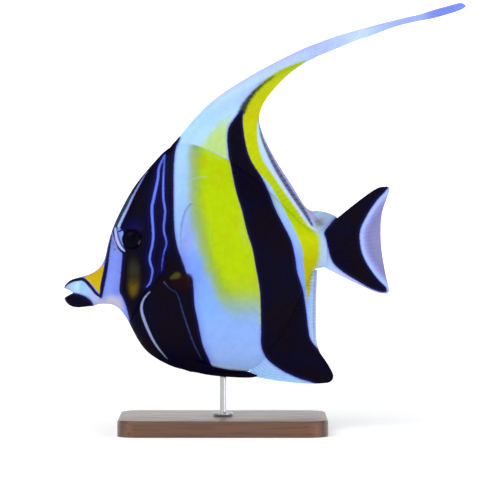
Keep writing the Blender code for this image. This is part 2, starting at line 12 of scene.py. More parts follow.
import bpy
import mathutils
import numpy as np
from mathutils.bvhtree import BVHTree
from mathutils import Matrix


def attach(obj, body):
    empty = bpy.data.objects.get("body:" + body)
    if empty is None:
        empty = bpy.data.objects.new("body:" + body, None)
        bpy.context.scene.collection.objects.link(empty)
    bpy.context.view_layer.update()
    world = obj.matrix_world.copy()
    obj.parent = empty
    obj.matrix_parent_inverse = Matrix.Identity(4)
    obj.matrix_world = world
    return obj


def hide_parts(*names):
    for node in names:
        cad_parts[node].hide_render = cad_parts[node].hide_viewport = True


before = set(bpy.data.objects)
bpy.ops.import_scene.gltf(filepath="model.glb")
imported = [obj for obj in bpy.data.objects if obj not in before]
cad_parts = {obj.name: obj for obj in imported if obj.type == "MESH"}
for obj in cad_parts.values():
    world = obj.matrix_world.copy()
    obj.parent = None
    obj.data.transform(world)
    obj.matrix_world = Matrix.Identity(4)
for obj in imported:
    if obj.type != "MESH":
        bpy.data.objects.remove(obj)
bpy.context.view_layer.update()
scene = bpy.context.scene
scene.view_settings.view_transform = "Standard"
MM = 0.001
SIDES = {"left": -1, "right": 1}
print("nodes:", len(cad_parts))

# %% [markdown]
# Every outline of this fish is a soft curve: the back, the fins, the edge of each band. One short
# helper turns a few measured points into a smooth line, and another eases a value from 0 to 1, which
# shapes every swelling, groove and fade below. All measures are millimetres, with x along the fish, y
# across it and z up.

# %% Curves and easing
LINE_STEPS = 10


def ease(value, start, end):
    """0 at start, 1 at end, and smooth between them."""
    t = np.clip((np.asarray(value, float) - start) / (end - start), 0.0, 1.0)
    return t * t * (3 - 2 * t)


def smooth_line(points, closed=False):
    """Points along a smooth curve through these few points."""
    knots = np.array(points, float)
    if closed:
        ends = np.vstack([knots[-1:], knots, knots[:2]])
    else:
        ends = np.vstack([2 * knots[0] - knots[1], knots, 2 * knots[-1] - knots[-2]])
    t = np.linspace(0, 1, LINE_STEPS, endpoint=False)[:, None]
    pieces = []
    for a, b, c, d in zip(ends, ends[1:], ends[2:], ends[3:]):
        bend = 2 * a - 5 * b + 4 * c - d + t * (3 * (b - c) + d - a)
        pieces.append(b + 0.5 * t * (c - a + t * bend))
    return np.vstack(pieces if closed else pieces + [knots[-1:]])


def along(points):
    """The smooth line as a function of the share of its length."""
    path = smooth_line(points)
    run = np.concatenate([[0.0], np.cumsum(np.linalg.norm(np.diff(path, axis=0), axis=1))])

    def at(share):
        share = np.asarray(share, float) * run[-1]
        return np.stack([np.interp(share, run, path[:, k]) for k in range(path.shape[1])], axis=-1)

    return at


def profile(knots):
    """A curve through the knots that never overshoots them, as a function of x."""
    x, z = np.array(knots, float).T
    step = np.diff(x)
    slope = np.diff(z) / step
    same_way = slope[:-1] * slope[1:] > 0
    total = np.where(same_way, slope[:-1] + slope[1:], 1.0)
    inner = np.where(same_way, 2 * slope[:-1] * slope[1:] / total, 0.0)
    lean = np.concatenate([slope[:1], inner, slope[-1:]])

    def at(place):
        place = np.clip(place, x[0], x[-1])
        i = np.clip(np.searchsorted(x, place, side="right") - 1, 0, len(step) - 1)
        t = (place - x[i]) / step[i]
        rise = (3 - 2 * t) * t * t
        return z[i] + rise * (z[i + 1] - z[i]) + (t - 1) * t * step[i] * ((t - 1) * lean[i] + t * lean[i + 1])

    return at


# %% [markdown]
# Modelling with operators means keeping the selection in hand: an operator acts on everything that is
# selected. These helpers clear the selection, pick one object, and read or move its points as one
# array, which is how the sculpting moves of this lesson are made.

# %% Selection and points
def clear_selection():
    bpy.ops.object.select_all(action="DESELECT")


def pick(piece):
    clear_selection()
    piece.select_set(True)
    bpy.context.view_layer.objects.active = piece


def named(name):
    """Names the object that an operator has just added."""
    piece = bpy.context.object
    piece.name = piece.data.name = name
    return piece


def points_of(piece):
    """The piece's points in millimetres."""
    flat = np.empty(len(piece.data.vertices) * 3, np.float32)
    piece.data.vertices.foreach_get("co", flat)
    return flat.reshape(-1, 3).astype(float) / MM


def normals_of(piece):
    flat = np.empty(len(piece.data.vertices) * 3, np.float32)
    piece.data.vertex_normals.foreach_get("vector", flat)
    return flat.reshape(-1, 3).astype(float)


def move_points(piece, points):
    piece.data.vertices.foreach_set("co", (np.asarray(points) * MM).astype(np.float32).ravel())
    piece.data.update()


def keep_value(piece, name, values):
    """Stores one number per point, for a material to read."""
    layer = piece.data.attributes.new(name, "FLOAT", "POINT")
    layer.data.foreach_set("value", np.asarray(values, np.float32).ravel())


def apply_modifiers(piece):
    pick(piece)
    for modifier in list(piece.modifiers):
        bpy.ops.object.modifier_apply(modifier=modifier.name)


def face_outwards(piece):
    pick(piece)
    bpy.ops.object.mode_set(mode="EDIT")
    bpy.ops.mesh.select_all(action="SELECT")
    bpy.ops.mesh.normals_make_consistent(inside=False)
    bpy.ops.object.mode_set(mode="OBJECT")


def settle(piece, finish, slot_name, *nodes):
    """Gives a finished piece its finish, smooth shading and its place in the frame."""
    pick(piece)
    bpy.ops.object.shade_smooth()
    piece.data.materials.clear()
    piece.data.materials.append(finish)
    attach(piece, "root")
    if nodes:
        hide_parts(*nodes)
    print(f"{piece.name}: {len(piece.data.polygons)} faces")


# %% [markdown]
# The body of a moorish idol is a thin, deep disc with a long snout. Four curves give it: the back, the
# belly, the height where it is widest and half its thickness there. They are the curves of the solid
# body, so the skin lies where the solids do.

# %% The body's curves
BACK = [
    (-100.6, 71.6), (-100.2, 73), (-98.5, 75), (-96.5, 76.3), (-92.5, 77.5), (-88.5, 78.6), (-84.5, 80.7),
    (-82.5, 82.6), (-80.6, 85.6), (-79.4, 89.5), (-78.5, 94), (-77.2, 98.6), (-75.2, 104.2), (-71, 113),
    (-67.5, 119.3), (-63.5, 125.3), (-59.5, 130.2), (-55.5, 134.8), (-51.5, 139.2), (-47.5, 142.3),
    (-43.5, 144.2), (-39.5, 144.6), (-35, 144), (-28.5, 141.6), (-19.5, 137), (-10, 131), (-1.5, 124),
    (7.5, 115.3), (15, 107.6), (21, 102.4), (26.5, 100.2), (31, 99.8),
]
BELLY = [
    (-100.6, 68.2), (-100.2, 66.2), (-98.5, 63.9), (-96.5, 62.7), (-93.5, 62.2), (-89.5, 62.6),
    (-86, 62.9), (-83.5, 63.8), (-80.5, 64.1), (-77, 63.8), (-74, 62.4), (-72, 60.6), (-70, 58),
    (-68.5, 55.6), (-66, 50.6), (-63, 45.2), (-59.5, 40.6), (-55.5, 37.4), (-51.5, 35), (-47.5, 33.1),
    (-43.5, 31.7), (-37.5, 30.5), (-30, 29.9), (-20, 29.6), (-10, 30), (-4, 32.4), (1.5, 38), (7.5, 46.5),
    (13.5, 57.5), (18.5, 68.5), (22.5, 77.5), (25.5, 81.6), (31, 82.5),
]
WIDEST = [
    (-100.6, 69.9), (-90, 71.2), (-83, 73.2), (-78, 77.5), (-72, 83), (-62, 85.5), (-42, 86.5),
    (-17, 87.5), (8, 89.5), (26, 91.4), (31, 91.5),
]
HALF_WIDTH = [
    (-100.6, 1.2), (-100, 2.2), (-98.3, 3.2), (-96.5, 3.4), (-94, 3), (-90, 3.1), (-86, 3.5), (-82, 4.4),
    (-78, 5.6), (-74, 7), (-69, 8.6), (-63, 9.9), (-56, 11.1), (-48, 12), (-38, 12.5), (-28, 12.2),
    (-16, 11), (-4, 9), (8, 6.8), (18, 4.9), (26, 3.5), (31, 2.5),
]
KEEL = [(-100.6, 1), (-84, 1), (-70, 1.15), (-45, 1.3), (0, 1.25), (20, 1.1), (31, 1)]
back, belly, widest = profile(BACK), profile(BELLY), profile(WIDEST)
half_width, keel = profile(HALF_WIDTH), profile(KEEL)


def flank(x, z):
    """Half the body's thickness at a point of its side view."""
    middle = widest(x)
    reach = np.where(z > middle, back(x) - middle, middle - belly(x))
    height = np.clip(np.abs(z - middle) / reach, 0.0, 1.0)
    return half_width(x) * (1 - height * height) ** (keel(x) / 2)


print("thickest:", 2 * max(width for _, width in HALF_WIDTH), "mm")

# %% [markdown]
# The skin could be joined from the solids, but their gaps and flat facets would show. A sphere with
# many rings is a better start: its poles go to the snout and the tail, and each ring is moved onto the
# body's section at its place. It is smooth all over and needs no seam.

# %% Shape the skin from a sphere
SKIN_RINGS = 260
SKIN_AROUND = 160
TIP = 0.1


def ring_places(count):
    """Where rings stand along x, in even steps of the back's own length."""
    x = np.linspace(BACK[0][0], BACK[-1][0], 4000)
    run = np.concatenate([[0.0], np.cumsum(np.hypot(np.diff(x), np.diff(back(x))))])
    return np.interp(np.linspace(0, run[-1], count), run, x)


clear_selection()
bpy.ops.mesh.primitive_uv_sphere_add(segments=SKIN_AROUND, ring_count=SKIN_RINGS, radius=MM)
skin = named("skin")
ball = points_of(skin)
ring = np.rint(np.arccos(np.clip(ball[:, 2], -1, 1)) * SKIN_RINGS / math.pi).astype(int)
turn = np.arctan2(ball[:, 1], ball[:, 0])
stations = np.concatenate([[BACK[0][0] - TIP], ring_places(SKIN_RINGS - 1), [BACK[-1][0] + TIP]])
x = stations[ring]
up = np.cos(turn)
reach = np.where(up > 0, back(x) - widest(x), widest(x) - belly(x))
across = np.sign(np.sin(turn)) * half_width(x) * np.abs(np.sin(turn)) ** keel(x)
pole = (ring == 0) | (ring == SKIN_RINGS)
across[pole] = 0.0
up[pole] = 0.0
move_points(skin, np.column_stack([x, across, widest(x) + reach * up]))
face_outwards(skin)
print("skin:", len(skin.data.vertices), "points")

# %% [markdown]
# The mouth stands a little open, as a wedge between the lips. The wedge is drawn as a flat outline,
# pulled out across the snout with extrude, and cut from the skin. Then the whole skin is remeshed, so
# that its faces are alike in size everywhere and there are enough of them for sculpting.

# %% Open the mouth and remesh
MOUTH_OPENING = [
    (-104, 72.4), (-100.2, 71.9), (-98, 71), (-95.6, 69.6), (-98.4, 68.3), (-100.2, 67.1), (-104, 66.6),
]
MOUTH_CUT_REACH = 8.0
SKIN_VOXEL = 0.5

clear_selection()
bpy.ops.mesh.primitive_circle_add(vertices=len(MOUTH_OPENING), radius=MM, fill_type="NGON")
wedge = named("mouth_wedge")
move_points(wedge, [(x, -MOUTH_CUT_REACH, z) for x, z in MOUTH_OPENING])
bpy.ops.object.mode_set(mode="EDIT")
bpy.ops.mesh.select_all(action="SELECT")
bpy.ops.mesh.extrude_region_move(TRANSFORM_OT_translate={"value": (0, 2 * MOUTH_CUT_REACH * MM, 0)})
bpy.ops.object.mode_set(mode="OBJECT")
face_outwards(wedge)
opening = skin.modifiers.new("mouth", "BOOLEAN")
opening.object = wedge
opening.solver = "EXACT"
apply_modifiers(skin)
bpy.data.objects.remove(wedge, do_unlink=True)
skin.data.remesh_voxel_size = SKIN_VOXEL * MM
skin.data.remesh_voxel_adaptivity = 0
bpy.ops.object.voxel_remesh()
rounding = skin.modifiers.new("rounding", "SMOOTH")
rounding.factor = 0.5
rounding.iterations = 3
apply_modifiers(skin)
print("skin:", len(skin.data.polygons), "faces")

# %% [markdown]
# Markings and folds follow the same few lines in the side view. For each point of a mesh, these helpers
# give its distance to a line or into an outline. The sculpting turns such a distance into a fold, and
# the paint turns it into an edge that stays sharp however close the camera comes.

# %% Distances to lines and outlines
FAR = 8.0


def near_line(path, places):
    """Distance, side and share along the line's length, for each place in the side view."""
    start, ends = path[:-1], path[1:]
    step = ends - start
    length = np.maximum(np.linalg.norm(step, axis=1), 1e-9)
    run = np.concatenate([[0.0], np.cumsum(length)])
    best = np.full(len(places), np.inf)
    side = np.ones(len(places))
    share = np.zeros(len(places))
    for a, d, size, before in zip(start, step, length, run):
        off = places - a
        t = np.clip(off @ d / size**2, 0.0, 1.0)
        apart = off - t[:, None] * d
        away = np.hypot(apart[:, 0], apart[:, 1])
        nearer = away < best
        best = np.where(nearer, away, best)
        side = np.where(nearer, np.sign(d[0] * off[:, 1] - d[1] * off[:, 0]), side)
        share = np.where(nearer, (before + t * size) / run[-1], share)
    return best, side, share


def within(outline, places):
    """How far each place lies inside a closed outline, below 0 outside it."""
    loop = smooth_line(outline, closed=True)
    low, high = loop.min(axis=0) - FAR, loop.max(axis=0) + FAR
    close = np.all((places > low) & (places < high), axis=1)
    depth = np.full(len(places), -FAR)
    spots = places[close]
    away, _, _ = near_line(np.vstack([loop, loop[:1]]), spots)
    odd = np.zeros(len(spots), bool)
    for a, b in zip(loop, np.roll(loop, -1, axis=0)):
        crosses = (a[1] > spots[:, 1]) != (b[1] > spots[:, 1])
        if crosses.any():
            meets = (b[0] - a[0]) * (spots[:, 1] - a[1]) / (b[1] - a[1]) + a[0]
            odd ^= crosses & (spots[:, 0] < meets)
    depth[close] = np.where(odd, away, -away)
    return np.clip(depth, -FAR, FAR)


def on_stroke(points, widths, places):
    """How far each place lies inside a brush stroke whose half widths change along it."""
    path = smooth_line(points)
    low, high = path.min(axis=0) - FAR, path.max(axis=0) + FAR
    close = np.all((places > low) & (places < high), axis=1)
    depth = np.full(len(places), -FAR)
    away, _, share = near_line(path, places[close])
    depth[close] = np.interp(share, np.linspace(0, 1, len(widths)), widths) - away
    return np.clip(depth, -FAR, FAR)


# %% [markdown]
# Now the relief of the head and flank, as moves along each point's own normal. The gill cover is a
# flap: its rear edge stands up and a groove follows behind it. The mouth runs back as a crease between
# full lips, a fold crosses the cheek, two nostrils lie before each eye, and the eye sits in a socket
# with a raised rim. Along the back a low sheath marks where the dorsal fin grows.

# %% Sculpt the head and flank
EYE_PLACE, EYE_RADIUS, EYE_HALF_DEPTH, EYE_PROUD = (-66.2, 96.4), 5.1, 3.4, 1.5
NOSTRILS = [((-76.1, 94.4), 0.8), ((-74.9, 91.6), 0.65)]
GILL_EDGE = [
    (-50.6, 112), (-49.8, 104), (-49.4, 96), (-49.2, 88), (-50.4, 81), (-54.5, 75.5), (-59.5, 71),
    (-63, 65), (-66, 58), (-67.6, 54),
]
CHEEK_FOLD = [(-59.8, 103), (-60.8, 94), (-61.4, 86), (-63, 79), (-66.6, 73.5), (-72, 70)]
MOUTH_CREASE = [(-96.4, 69.7), (-92, 68.8), (-88, 66.8), (-85.6, 63.8)]
LIP_CREASE = [(-97.5, 75.2), (-93, 75), (-89, 73.8), (-86, 70.8), (-84, 67.2), (-83.4, 64.5)]
BREAST_FOLD = [(-58.5, 70), (-61.5, 62), (-60, 52), (-55.5, 43), (-49, 36.5)]
SIDE_LINE = [(-49, 108), (-40, 118), (-28, 121.5), (-12, 117), (4, 107), (16, 97), (30, 91.5)]
FIN_SHEATH = [(-43, 142.4), (-28.5, 139.6), (-19.5, 135), (-2, 122.4), (15, 105.6), (24, 98.6)]
PECTORAL_ROOT = (-40.6, 75.4)
FLAPS = [(GILL_EDGE, 0.75, 9), (CHEEK_FOLD, 0.35, 6)]
RIDGES = [
    (MOUTH_CREASE, -0.9, 0.45), (LIP_CREASE, -0.3, 0.5), (BREAST_FOLD, -0.3, 0.7),
    (SIDE_LINE, 0.12, 0.45), (FIN_SHEATH, 0.35, 1.1),
]

points = points_of(skin)
outward = normals_of(skin)
side_view = points[:, [0, 2]]
sideways = ease(np.abs(outward[:, 1]), 0.15, 0.6)


def ridge(line, height, width):
    """A rounded ridge along a line, or a groove where the height is below 0."""
    away, _, share = near_line(smooth_line(line), side_view)
    return height * np.exp(-((away / width) ** 2)) * ease(share, 0.0, 0.08) * ease(share, 1.0, 0.92)


def flap(line, height, back_slope):
    """A flap that rises to its free edge on the line and ends there in a step and a groove."""
    away, side, share = near_line(smooth_line(line), side_view)
    ahead = -away * side
    rise = height * ease(ahead, -0.35, 0.25) * ease(ahead, back_slope, 0.5)
    groove = -0.45 * height * np.exp(-(((ahead + 0.7) / 0.5) ** 2))
    return (rise + groove) * ease(share, 0.0, 0.06) * ease(share, 1.0, 0.9)


relief = sum(flap(*values) for values in FLAPS) + sum(ridge(*values) for values in RIDGES)
from_eye = np.hypot(side_view[:, 0] - EYE_PLACE[0], side_view[:, 1] - EYE_PLACE[1])
relief += 0.55 * np.exp(-(((from_eye - EYE_RADIUS - 0.7) / 0.8) ** 2))
relief -= 2.2 * ease(from_eye, EYE_RADIUS - 0.1, EYE_RADIUS - 1.6)
for place, radius in NOSTRILS:
    away = np.hypot(side_view[:, 0] - place[0], side_view[:, 1] - place[1])
    relief += 0.2 * np.exp(-(((away - radius - 0.25) / 0.3) ** 2)) - 0.8 * ease(away, radius, 0.25 * radius)
from_root = np.hypot((side_view[:, 0] - PECTORAL_ROOT[0]) / 1.5, side_view[:, 1] - PECTORAL_ROOT[1])
relief += 0.9 * ease(from_root, 4.4, 1.0)
move_points(skin, points + outward * (relief * sideways)[:, None])
print("relief from", round(float(relief.min()), 2), "to", round(float(relief.max()), 2), "mm")

# %% [markdown]
# The colours are painted where they lie in the side view, the same on both flanks. Each marking is a
# short outline or a brush stroke with changing width. Every point of a mesh stores how far it lies
# inside each marking, in millimetres, and the material turns that distance into colour. No picture is
# used, and body and fins share the same bands, so a band runs from the skin into the fin without a
# step.

# %% The markings in the side view
DORSAL_FRONT = [
    (-49.5, 139.6), (-46.5, 143.5), (-43.4, 147), (-39.5, 151.7), (-35.5, 156.4), (-27.5, 164.4),
    (-19.5, 170.5), (-11.5, 175.5), (-3.5, 180.2), (4.5, 184.5), (12.5, 188.5), (20.5, 192.2),
    (26, 194.3),
]
FRONT_BAND = [
    (-42.6, 147.4), (-44.4, 142), (-45.3, 134), (-45.4, 118.5), (-45, 102.5), (-43.5, 93), (-40.6, 85),
    (-38.6, 79), (-36.2, 77), (-35.4, 71), (-35, 64), (-33.4, 56), (-31, 44), (-27.5, 35.5), (-25, 26),
    (-45, 24), (-62, 34), (-66.6, 45), (-67.9, 56.5), (-69.2, 62.5), (-71, 67.4), (-72.6, 71),
    (-71.8, 80.5), (-71.1, 89), (-71, 99.5), (-77.5, 103.5), (-74, 116), (-62, 134), (-50, 146),
]
REAR_BAND = [
    (-11.2, 161), (-16, 156), (-18.8, 150), (-18.5, 140), (-17, 132), (-14.5, 120), (-12, 112), (-9, 100),
    (-6.5, 92), (-5, 84), (-3.5, 76), (-2.5, 68), (-2.1, 52), (-2, 43.5), (0.2, 37.6), (3.6, 34),
    (9.2, 30.2), (17, 26.6), (24, 24.4), (30, 21), (38, 21), (37, 30), (32, 36.5), (26.8, 41.3),
    (23, 46.2), (21.8, 51.5), (20.7, 60.5), (19, 71), (16.2, 80), (15, 88), (13, 96), (9, 104), (5, 112),
    (2, 120), (-2, 128), (-7, 136), (-9.5, 144), (-11, 154),
]
TAIL_BAND = [
    (38, 109.5), (32.5, 104), (29.6, 100), (30.5, 96), (31.5, 92), (32.5, 88), (34.5, 84), (39.4, 79.6),
    (46, 75.5), (53, 71.5), (58.6, 69.7), (61, 70.2), (60.4, 72.6), (56.6, 76.4), (51.2, 84), (48.3, 91),
    (47.6, 100), (51, 108), (56, 115.6), (60.2, 120.2), (62.4, 124.4), (48, 119),
]
LOWER_JAW = [
    (-101.5, 70.6), (-96.4, 69.7), (-92, 68.8), (-88, 66.7), (-85.8, 63.6), (-86.5, 60), (-101.5, 60),
]
UPPER_LIP = [
    (-101.5, 74), (-97, 77.5), (-90.5, 77.2), (-87.5, 74.3), (-85.2, 71.2), (-82.8, 67.6), (-84.3, 64.4),
    (-85.6, 63.4), (-87.9, 67), (-92, 69.1), (-96.4, 70), (-101.5, 71),
]
SADDLE = [
    (-90.2, 77.2), (-85, 80), (-80.4, 83.6), (-81.4, 77), (-82.2, 72.4), (-81.7, 68.6), (-84.4, 71.4),
    (-87.2, 74.8),
]
REAR_YELLOW = [
    (18.5, 185.4), (6.4, 180.4), (-3.8, 172.5), (-9.5, 164.4), (-12, 157), (-11.6, 148), (-9.2, 139.6),
    (-5, 131.6), (2, 124), (6.8, 116), (11, 108), (15.2, 100), (18.2, 92), (19, 84), (19.8, 76.8),
    (20.6, 70.2), (21.2, 65), (22.5, 70.2), (23.1, 75.4), (24.2, 80.4), (26.4, 83.6), (27.5, 90),
    (27, 98), (24.4, 101.2), (19.8, 106), (15.4, 112.4), (10.4, 119.6), (4.4, 128), (-1, 136),
    (-3.4, 144), (-3.9, 152), (-2.9, 157), (-0.6, 163.2), (3.8, 170.2), (11.6, 178.4), (19.4, 184.4),
]
MAIN_YELLOW = [
    (-12, 158), (-30, 158), (-33.2, 146), (-34.2, 136), (-34.4, 127), (-34.3, 118), (-33.6, 109),
    (-32, 101), (-30, 94), (-27.4, 85), (-23.5, 76), (-18.5, 66), (-12, 57.5), (-4, 52.5), (4, 53),
    (8, 62), (6, 90), (2, 112), (-3, 132), (-8, 148),
]
YELLOW_ON_FIN = [(-32, 141), (-18, 136), (-15, 146), (-15, 158.5), (-20.5, 160), (-26, 152), (-30, 146.5)]
BROW = [(-73, 102.4), (-70.8, 100.6), (-70.4, 97), (-70.8, 94), (-72.4, 94.6), (-73.6, 97.5), (-74, 101)]
CHEEK = [(-68, 88), (-64.5, 89.5), (-62.2, 84), (-62, 76), (-63.5, 69), (-66.5, 66.5), (-68.6, 73)]
FIN_LOBE = [(-47, 77), (-42, 80), (-37, 79.5), (-35.5, 75.5), (-39, 71.2), (-44, 72)]
BLACK_STROKES = [
    (
        [
            (-100.4, 72.6), (-98.5, 74.4), (-96.5, 75.6), (-94.2, 76.2), (-90.6, 76.3), (-87.1, 72.9),
            (-84.3, 69.4), (-82, 67.7),
        ],
        [0.45, 0.6, 0.8, 0.9, 0.9, 0.85, 0.8, 0.75, 0.6],
    ),
    (
        [(-82, 67.9), (-81.5, 71), (-81, 74), (-79.9, 79.3), (-78.8, 86), (-78, 91.5), (-76.6, 98.5)],
        [0.8, 1.1, 1.12, 1.05, 0.92, 0.65, 0.35],
    ),
]
BLUE_STROKES = [
    (
        [
            (-50, 138.5), (-52.8, 132.3), (-53.5, 126), (-55.6, 116), (-56.3, 111), (-55.6, 97.5),
            (-57.2, 88.5), (-57.2, 85.5), (-56, 81), (-57, 75.5), (-58.8, 73),
        ],
        [0.2, 0.5, 0.6, 0.62, 0.6, 0.55, 0.5, 0.45, 0.35, 0.2],
    ),
    (
        [
            (-50, 138.5), (-50.6, 127.5), (-50.6, 117.5), (-49.7, 110.5), (-50.3, 101.5), (-49, 94.8),
            (-50.5, 89), (-51.5, 81),
        ],
        [0.15, 0.36, 0.44, 0.45, 0.42, 0.34, 0.15, 0.05],
    ),
]
EDGE_LINE = (
    [(-58.5, 130.2), (-60, 128.5), (-65.4, 118.9), (-68.3, 112.7), (-70.8, 107.7), (-73, 102.9)],
    [0.1, 0.3, 0.42, 0.5, 0.6, 0.66],
)
FRONT_STRIP = [
    (-67.5, 120), (-73.5, 109), (-76.5, 101), (-73.9, 101), (-71.5, 106.5), (-68.8, 112.5),
    (-66.4, 117.6),
]
NAVY_STROKES = [
    (
        [(-76.6, 101.8), (-75.2, 98.5), (-74.2, 95.6), (-72.7, 91.9), (-70.4, 89.4)],
        [0.3, 0.5, 0.5, 0.45, 0.4],
    ),
    ([(-73.2, 100.2), (-71.4, 101.2), (-69.5, 103)], [0.3, 0.55, 0.8]),
]
TAIL_EDGE = (
    [(28, 83), (34, 80.2), (41, 76.6), (48.5, 73), (56, 69.8), (60, 69.2)], [1.6, 1.6, 1.4, 1, 0.5],
)
OLIVE = [(-47.5, 77), (-44.5, 80.4), (-41.8, 79.6), (-43, 77.2)]
WHITE_STROKES = [
    (
        [
            (-57.3, 70.6), (-60.6, 66.4), (-61.5, 61.2), (-59.2, 53.5), (-55.4, 45.4), (-51.2, 39.4),
            (-48.6, 36.6),
        ],
        [0.1, 0.42, 0.58, 0.48, 0.32, 0.05],
    ),
    (
        [
            (-50.4, 75.6), (-47.4, 72.2), (-43.7, 69.4), (-40.9, 60.4), (-38.4, 52.6), (-35.8, 45.2),
            (-31.8, 36.6),
        ],
        [0, 0.08, 0.2, 0.24, 0.2, 0.1],
    ),
]
VIOLET_STROKES = [
    (
        [(-3.2, 157), (-1.4, 146.8), (3.9, 135), (9.7, 125.1), (16.2, 115.2), (19.7, 110), (23.6, 103.4)],
        [0.1, 0.45, 0.8, 0.95, 0.95, 0.9, 0.5],
    ),
    ([(25, 80), (24.5, 66), (24.4, 54), (24.8, 45)], [0.15, 0.25, 0.3, 0.15]),
]
SMUDGE = (
    [(-11.6, 160), (-9.2, 165), (-5.4, 169.8), (-0.8, 174), (4.2, 177.6)], [1.7, 1.3, 0.9, 0.5, 0.1],
)
# Pale strokes: the dorsal fin's pale rear margin, between two painted highlights on the fin's root ridge and
# along the belly above the pelvic fins.
PALE_BANDS_AND_HIGHLIGHTS = [
    ([(-41, 144.4), (-34, 143.4), (-28.5, 141.6), (-19.5, 137)], [0, 0.1, 0.25, 0.3]),
    (
        [
            (-3.5, 153.5), (-3, 146.2), (1.2, 135), (7.1, 124.8), (13.4, 115.8), (17.2, 110.2),
            (21.6, 103.8), (26, 100.4),
        ],
        [0.1, 0.4, 0.6, 0.7, 0.75, 0.7, 0.6, 0.5],
    ),
    ([(-32.5, 35.8), (-27, 34.2), (-18, 32.1), (-9.5, 31.2)], [0.1, 0.5, 0.55, 0.3]),
]
OUTER_MARGIN = (
    [(-2, 157), (0.6, 147), (6, 135), (11.6, 125.6), (18.2, 115.6), (21.8, 110.6), (25, 106)],
    [0.3, 1.4, 2, 2.2, 2.2, 2.2, 1.6],
)
FIN_ARC = (
    [(-44.4, 117), (-42.2, 121.2), (-38.3, 125.2), (-33.5, 127.3), (-28.3, 127.9)],
    [0.02, 0.14, 0.2, 0.14, 0],
)


def deepest(outlines, strokes, places):
    """The greatest of the depths inside these outlines and strokes."""
    depths = [within(outline, places) for outline in outlines]
    depths += [on_stroke(points, widths, places) for points, widths in strokes]
    return np.max(depths, axis=0)


MARKINGS = {
    "black": ([FRONT_BAND, REAR_BAND, TAIL_BAND, LOWER_JAW], BLACK_STROKES),
    "blue": ([], BLUE_STROKES),
    "white": ([], WHITE_STROKES),
    "violet": ([], VIOLET_STROKES),
    # pale holds the fin's pale margin and two painted highlight lines.
    "pale": ([], PALE_BANDS_AND_HIGHLIGHTS),
    "navy": ([], NAVY_STROKES),
    "smudge": ([], [SMUDGE]),
    "edge_line": ([], [EDGE_LINE]),
    "outer_margin": ([], [OUTER_MARGIN]),
    "rear_yellow": ([REAR_YELLOW], []),
    "saddle": ([SADDLE], []),
    "lip": ([UPPER_LIP], []),
    "brow": ([BROW], []),
    "front_strip": ([FRONT_STRIP], []),
}
BODY_MARKINGS = {"yellow": ([MAIN_YELLOW], []), "fin_arc": ([], [FIN_ARC])}
SOFT_MARKINGS = {
    "tint": (YELLOW_ON_FIN, -1.5, 3.0),
    "olive": (OLIVE, -0.5, 1.0),
    "cheek": (CHEEK, -1.0, 2.5),
    "lobe": (FIN_LOBE, -0.4, 1.0),
}
BROW_GLOW = ((-65.5, 103.6), (5, 3))
FIN_SHADE, FIN_SHADE_LEAN = ((-37.8, 97.0), (3.4, 13.0)), 0.3
# A painted shade, brownish grey, on the dorsal fin's free lobe, strongest at its middle.
LOBE_SHADE, LOBE_SHADE_START, LOBE_SHADE_DEPTH = ((27.2, 104.6), (2.8, 2.4)), (23.8, 25.4), 0.85
SOFT_EDGE = 0.6


def glow(places, centre, reach, lean=0.0):
    """A soft round patch of 1 at its centre, as high and wide as its reach."""
    x, z = (places - centre).T
    return np.exp(-(((x - lean * z) / reach[0]) ** 2) - (z / reach[1]) ** 2)


def paint(piece, on_body=False):
    """Stores every marking's depth on the piece."""
    places = points_of(piece)[:, [0, 2]]
    for name, (outlines, strokes) in MARKINGS.items():
        keep_value(piece, name, deepest(outlines, strokes, places))
    for name, (outlines, strokes) in BODY_MARKINGS.items():
        keep_value(piece, name, deepest(outlines, strokes, places) if on_body else np.full(len(places), -FAR))
    for name, (outline, start, end) in SOFT_MARKINGS.items():
        keep_value(piece, name, ease(within(outline, places), start, end))
    keep_value(piece, "lower_edge", ease(on_stroke(*TAIL_EDGE, places), -SOFT_EDGE, SOFT_EDGE))
    keep_value(piece, "brow_glow", glow(places, *BROW_GLOW))
    keep_value(piece, "fin_shade", glow(places, *FIN_SHADE, FIN_SHADE_LEAN))
    # The free lobe gets a painted shade, strongest at its middle and faded out towards the fin's front.
    behind = LOBE_SHADE_DEPTH * ease(places[:, 0], *LOBE_SHADE_START)
    keep_value(piece, "free_lobe_shade", behind * glow(places, *LOBE_SHADE))
    from_front, _, _ = near_line(smooth_line(DORSAL_FRONT), places)
    keep_value(piece, "from_front", np.minimum(from_front, 4 * FAR))


paint(skin, on_body=True)
print("markings on the skin:", len(skin.data.attributes))

# %% [markdown]
# Now a small kit for materials. Colours are named as one would mix them, in the usual 0 to 255, and
# turned into the linear values that the shader works with. A layer lays one colour over what is below
# it, by an amount.

# %% Mixing colours
def colour(red, green, blue):
    """A colour of 0 to 255 as linear values."""
    parts = np.array([red, green, blue]) / 255
    linear = np.where(parts <= 0.04045, parts / 12.92, ((parts + 0.055) / 1.055) ** 2.4)
    return (*(float(part) for part in linear), 1.0)


def new_finish(name, **shader_values):
    """An empty finish with its constants set on the shader's own sockets."""
    finish = bpy.data.materials.new(name)
    finish.use_nodes = True
    shader = finish.node_tree.nodes["Principled BSDF"]
    for socket, value in shader_values.items():
        shader.inputs[socket.replace("_", " ").title().replace("Ior", "IOR")].default_value = value
    return finish


def add_node(finish, kind, inputs, output=0, **settings):
    """Adds a node, fills its sockets by number or name, and returns one of its outputs."""
    made = finish.node_tree.nodes.new(kind)
    for setting, value in settings.items():
        setattr(made, setting, value)
    for socket, value in inputs.items():
        if isinstance(value, bpy.types.NodeSocket):
            finish.node_tree.links.new(value, made.inputs[socket])
        else:
            made.inputs[socket].default_value = value
    return made.outputs[output]


def stored(finish, name):
    """A number that the mesh stores at each point."""
    return add_node(finish, "ShaderNodeAttribute", {}, 2, attribute_name=name)


